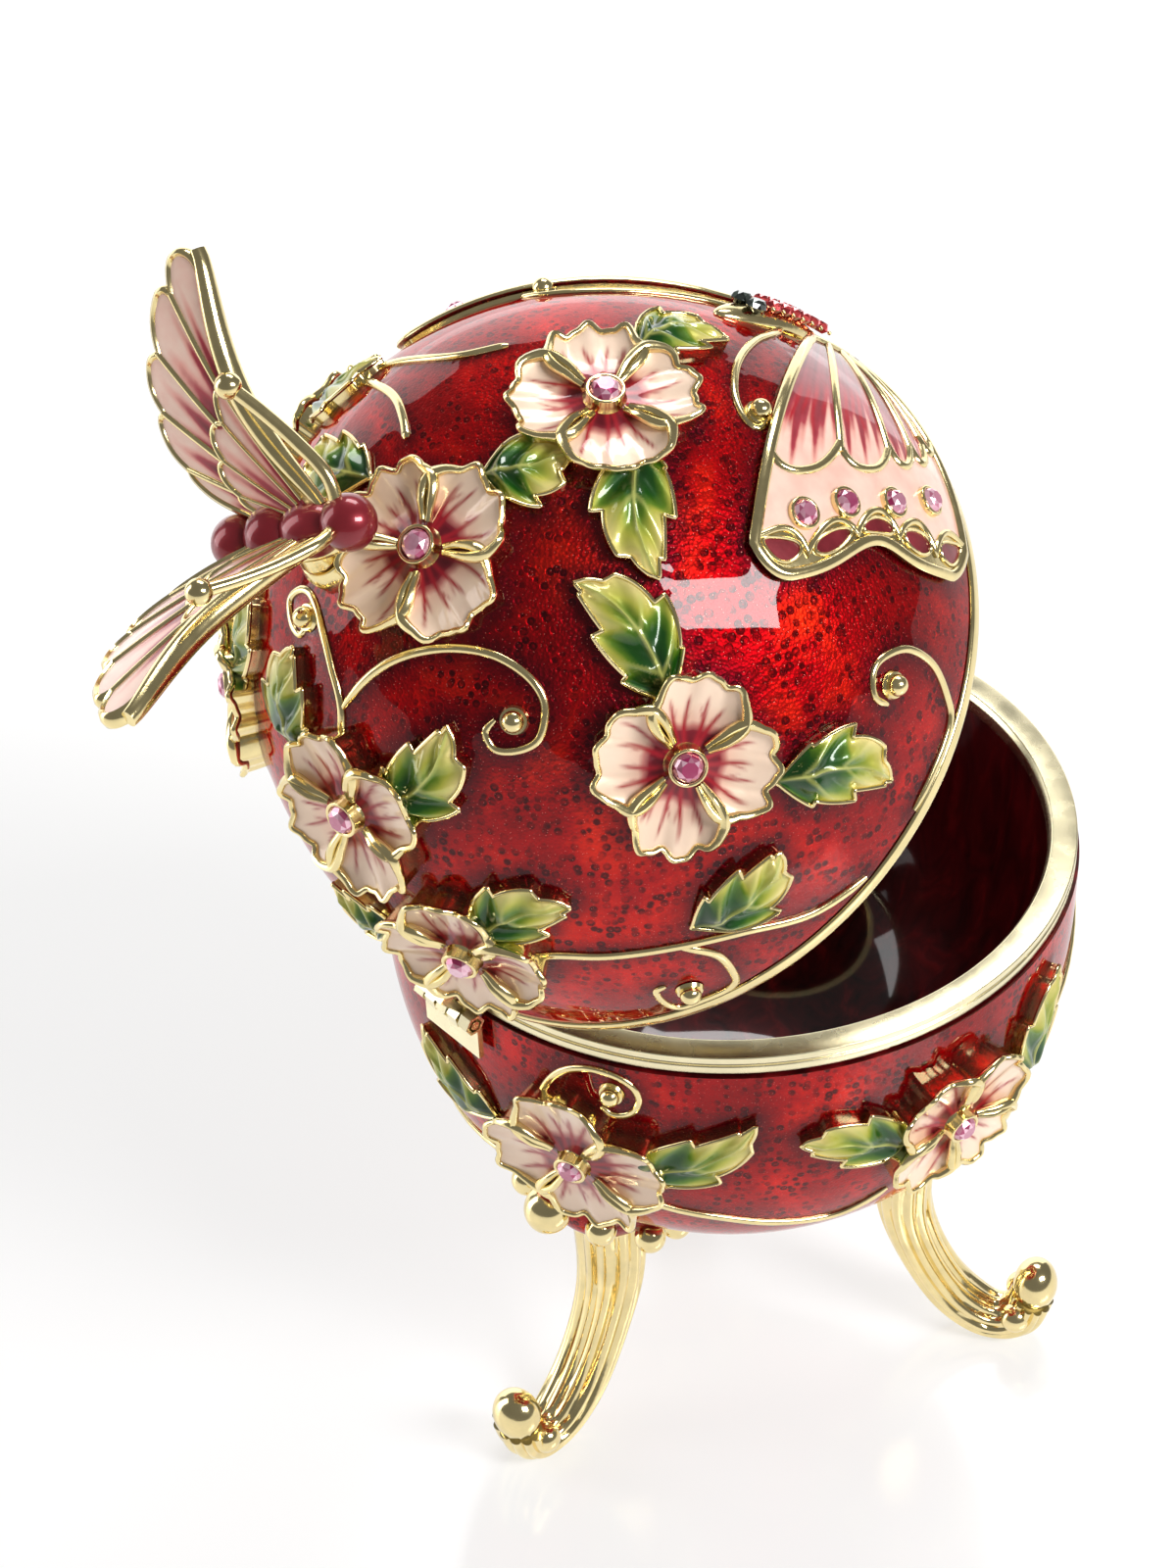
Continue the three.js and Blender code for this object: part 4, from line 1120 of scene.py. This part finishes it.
def addCollar(name, azimuth):
    make = collarMake
    turn = math.radians(azimuth)
    centre = Vector((feetMake["top"] * math.sin(turn), feetMake["top"] * math.cos(turn), 1 - collarDepth()))
    whole = newBody()
    dome = ballBody(centre, (7.0, 7.0, 6.0), 5)
    midForm = {**bowlForm, "radius": bowlForm["radius"] - 0.7, "height": bowlForm["height"] - 0.7}
    for vert in dome.verts:
        held = onForm(midForm, vert.co)[0]
        if held.length > vert.co.length:
            vert.co = held
    # Painted shade: the collar's red enamel takes a steady share of the enamel's shade colour, darker than
    # the open shell.
    paint(dome, 0.35)
    gather(whole, dome)
    seat = seatAt(bowlForm, (azimuth, math.degrees(math.asin(collarDepth() / bowlForm["height"]))))

    def reachAt(angle):
        return make["reach"] * (1 + make["scallop"] * math.cos(make["count"] * angle))

    skirt = ballBody(Vector((0, 0, 0)), 1, 6)
    for vert in skirt.verts:
        reach = reachAt(math.atan2(vert.co.x, vert.co.y))
        dent = 1 - 0.25 * math.hypot(vert.co.x, vert.co.y) ** 6
        height = max(-egg["sunk"], vert.co.z * make["rise"] * dent)
        vert.co = Vector((vert.co.x * reach, vert.co.y * reach, height))
    # Painted shade on the skirt, as on the dome.
    paint(skirt, 0.35)
    gather(whole, skirt, lambda co: layPoint(seat, co))
    edge = []
    for i in range(120):
        angle = 2 * math.pi * i / 120
        reach = reachAt(angle) - 0.1
        edge.append(layPoint(seat, Vector((reach * math.sin(angle), reach * math.cos(angle), 0.25))))
    normals = [onForm(bowlForm, spot)[1] for spot in edge]
    gather(whole, bandBody(edge, normals, 0.32, 0.36, 8, True), finish=1)
    for k in range(make["count"]):
        angle = 2 * math.pi * k / make["count"]
        # The drop at the middle of the front is larger and stands further out.
        size = 2.6 if k == 0 else 1.7
        reach = make["dropReach"] + (0.5 if k == 0 else 0)
        lift = make["dropLift"] + (0.3 if k == 0 else 0)
        spot = Vector((reach * math.sin(angle), reach * math.cos(angle), lift))
        gather(whole, ballBody(layPoint(seat, spot), (size, size, size * 1.08), 4), finish=1)
    finishPiece(name, whole, bowlFrame, "base", [redEnamel, castGold], ["bowl"])


for i, step in enumerate((0, -120, 120)):
    side = ("foot_back", "foot_left", "foot_right")[i]
    addFoot(side, feetMake["turn"] + step)
    addCollar(side.replace("foot", "collar"), feetMake["turn"] + step)
print("feet made")

# The shells' painted shade near raised work reaches 1.9 mm with a depth of 0.85; the meniscus raises the
# enamel there.
shellMake = {"steps": 440, "rings": 104, "innerRings": 16, "nearRelief": 1.9, "reliefShadeDepth": 0.85, "meniscus": 0.18,
             "meniscusReach": 0.7, "floor": 9}


def fillOf(form, spot):
    # How far out a spot lies in the form: 1 is on its surface.
    across = (math.hypot(spot.x, spot.y) / form["radius"]) ** 2
    return across + (abs(spot.z) / form["height"]) ** form["power"]


def addShell(name, form, place, body, nodeName, floor):
    make = shellMake
    profile = []
    for i in range(make["rings"] + 1):
        height = form["height"] * math.sin(math.pi / 2 * i / make["rings"])
        profile.append((radiusAt(form, height), form["side"] * height))
    inner = {**form, "radius": form["radius"] - egg["wall"], "height": form["height"] - egg["wall"]}
    depth = inner["height"] * (1 - (floor / inner["radius"]) ** 2) ** (1 / form["power"])
    profile.append((0, form["side"] * depth))
    top = math.asin(depth / inner["height"])
    for i in range(make["innerRings"], -1, -1):
        height = inner["height"] * math.sin(top * i / make["innerRings"])
        profile.append((radiusAt(inner, height), form["side"] * height))
    bm = turnedBody(profile, make["steps"])
    spots = reliefEdgeSpots[body]
    tree = KDTree(len(spots))
    for i, spot in enumerate(spots):
        tree.insert(spot, i)
    tree.balance()
    toneLayer = bm.verts.layers.float["tone"]
    for vert in bm.verts:
        if fillOf(form, vert.co) > 0.985:
            far = tree.find(vert.co)[2]
            # Painted shade: the tone darkens the enamel near raised work; the meniscus below raises the
            # enamel there.
            vert[toneLayer] = make["reliefShadeDepth"] * math.exp(-(far / make["nearRelief"]) ** 2)
            normal = onForm(form, vert.co)[1]
            vert.co += normal * make["meniscus"] * math.exp(-far / make["meniscusReach"])
    for face in bm.faces:
        face.material_index = 0 if fillOf(form, face.calc_center_median()) > 0.97 else 1
    finishPiece(name, bm, place, body, [redEnamel, darkLacquer], [nodeName])


addShell("lid_shell", lidForm, lidFrame, "lid", "lid", 0)
addShell("bowl_shell", bowlForm, bowlFrame, "base", "bowl", shellMake["floor"])

rimMake = {"radius": 36, "width": 3, "depth": 2.4, "gap": 0.3, "groove": 0.28, "band": 1.5, "steps": 220}


def addRims():
    make = rimMake
    outer = make["radius"]
    inner = outer - make["width"]
    gap = make["gap"]
    depth = make["depth"]
    groove = outer - make["groove"]
    ring = turnedBody([
        (inner, gap), (outer, gap), (outer, 1.25), (groove, 1.3), (groove, 1.5), (outer, 1.55),
        (outer, depth), (inner + 0.4, depth), (inner, depth - 0.6),
    ], make["steps"])
    softenEdges(ring, 0.14, 3, 0.4)
    finishPiece("bowl_rim_turned", ring, bowlFrame, "base", [creamGold], ["bowl_rim"])
    edge = lidForm["radius"] + 0.3
    inside = lidForm["radius"] - egg["wall"] - 0.5
    low = -gap - make["band"]
    band = turnedBody([(inside, low), (edge, low), (edge, -gap), (inside, -gap)], make["steps"])
    softenEdges(band, 0.3, 3, 0.4)
    finishPiece("lid_rim_turned", band, lidFrame, "lid", [paleGold], ["lid_rim"])


addRims()
for name in ("hinge_bowl_leaf", "hinge_pin", "hinge_lid_leaf"):
    node = frame["nodes"][name]
    node.data.materials.clear()
    node.data.materials.append(creamGold)
print("shells and rims made")

# Floor, lights and camera.
stageMake = {"floor": 3, "backdrop": 2.9, "floorGlow": 0.60, "backdropGlow": 0.97}


def stagePiece(name, bm, material):
    mesh = bpy.data.meshes.new(name)
    bm.to_mesh(mesh)
    bm.free()
    mesh.materials.append(material)
    piece = bpy.data.objects.new(name, mesh)
    scene.collection.objects.link(piece)
    return piece


floorMaterial, nodes, links, shader = newMaterial("paleFloor")
coordinate = nodes.new("ShaderNodeTexCoord")
cloud = addNoise(nodes, links, coordinate, 8, 2)
tint = addRamp(nodes, [(0.3, grey(0.38)), (0.7, grey(0.40))])
links.new(cloud.outputs["Fac"], tint.inputs[0])
links.new(tint.outputs[0], shader.inputs["Base Color"])
setInputs(shader, {"Roughness": 0.16, "Emission Color": (1, 0.995, 0.99, 1),
                   "Emission Strength": stageMake["floorGlow"]})
floorBody = bmesh.new()
bmesh.ops.create_grid(floorBody, x_segments=2, y_segments=2, size=stageMake["floor"])
floor = stagePiece("floor", floorBody, floorMaterial)

cameraMake = {"azimuth": 230.35, "elevation": 39.225, "roll": -2.56, "lens": 72, "sensor": 36,
              "aside": 14.456, "above": 3.259, "away": 325.24}
azimuth, elevation, roll = (math.radians(cameraMake[key]) for key in ("azimuth", "elevation", "roll"))
right = Vector((math.cos(azimuth), math.sin(azimuth), 0))
back = Vector((math.sin(azimuth) * math.cos(elevation), -math.cos(azimuth) * math.cos(elevation),
               math.sin(elevation)))
upward = back.cross(right)
rolledRight = right * math.cos(roll) + upward * math.sin(roll)
rolledUp = upward * math.cos(roll) - right * math.sin(roll)
rimCentre = eggMiddle + Vector((0, 0, rimHigh.z))
stand = rimCentre + (-rolledRight * cameraMake["aside"] + rolledUp * cameraMake["above"]
                     + back * cameraMake["away"]) / 1000
cameraData = bpy.data.cameras.new("camera")
cameraData.lens = cameraMake["lens"]
cameraData.sensor_width = cameraMake["sensor"]
cameraData.clip_start = 0.01
camera = bpy.data.objects.new("camera", cameraData)
axes = Matrix((rolledRight, rolledUp, back)).transposed().to_4x4()
camera.matrix_world = Matrix.Translation(stand) @ axes
scene.collection.objects.link(camera)
scene.camera = camera


def addLight(name, toward, distance, size, power, spin=0):
    data = bpy.data.lights.new(name, "AREA")
    data.shape = "RECTANGLE"
    data.size, data.size_y = size
    data.energy = power
    light = bpy.data.objects.new(name, data)
    direction = (right * toward[0] + upward * toward[1] + back * toward[2]).normalized()
    light.location = rimCentre + direction * distance
    light.rotation_mode = "QUATERNION"
    facing = direction.to_track_quat("Z", "Y")
    light.rotation_quaternion = facing @ Quaternion((0, 0, 1), math.radians(spin))
    scene.collection.objects.link(light)


addLight("keyBox", (0.62, 0.16, 0.77), 0.75, (0.36, 0.18), 4.6, -28)
addLight("backBox", (-0.1, 0.70, -0.72), 0.9, (1.7, 0.8), 6)
addLight("leftBox", (-0.95, 0.35, 0.05), 0.9, (0.4, 0.8), 3.2)
addLight("topBox", (0.15, 0.95, 0.12), 0.9, (0.5, 0.25), 3.5)
world = bpy.data.worlds.new("studio")
scene.world = world
world.use_nodes = True
setInputs(world.node_tree.nodes["Background"], {"Color": (1, 1, 1, 1), "Strength": 0.18})
# A white backdrop that only fills the view behind the floor; it neither lights nor shows in the gold.
backdropMaterial, nodes, links, shader = newMaterial("paleBackdrop")
setInputs(shader, {"Base Color": (0, 0, 0, 1), "Specular IOR Level": 0, "Emission Color": (1, 1, 1, 1),
                   "Emission Strength": stageMake["backdropGlow"]})
backdropBody = bmesh.new()
bmesh.ops.create_uvsphere(backdropBody, u_segments=48, v_segments=24, radius=stageMake["backdrop"])
bmesh.ops.reverse_faces(backdropBody, faces=backdropBody.faces)
backdrop = stagePiece("backdrop", backdropBody, backdropMaterial)
for ray in ("diffuse", "glossy", "transmission", "volume_scatter", "shadow"):
    setattr(backdrop, f"visible_{ray}", False)
scene.view_settings.view_transform = "Standard"
print("camera and lights set")
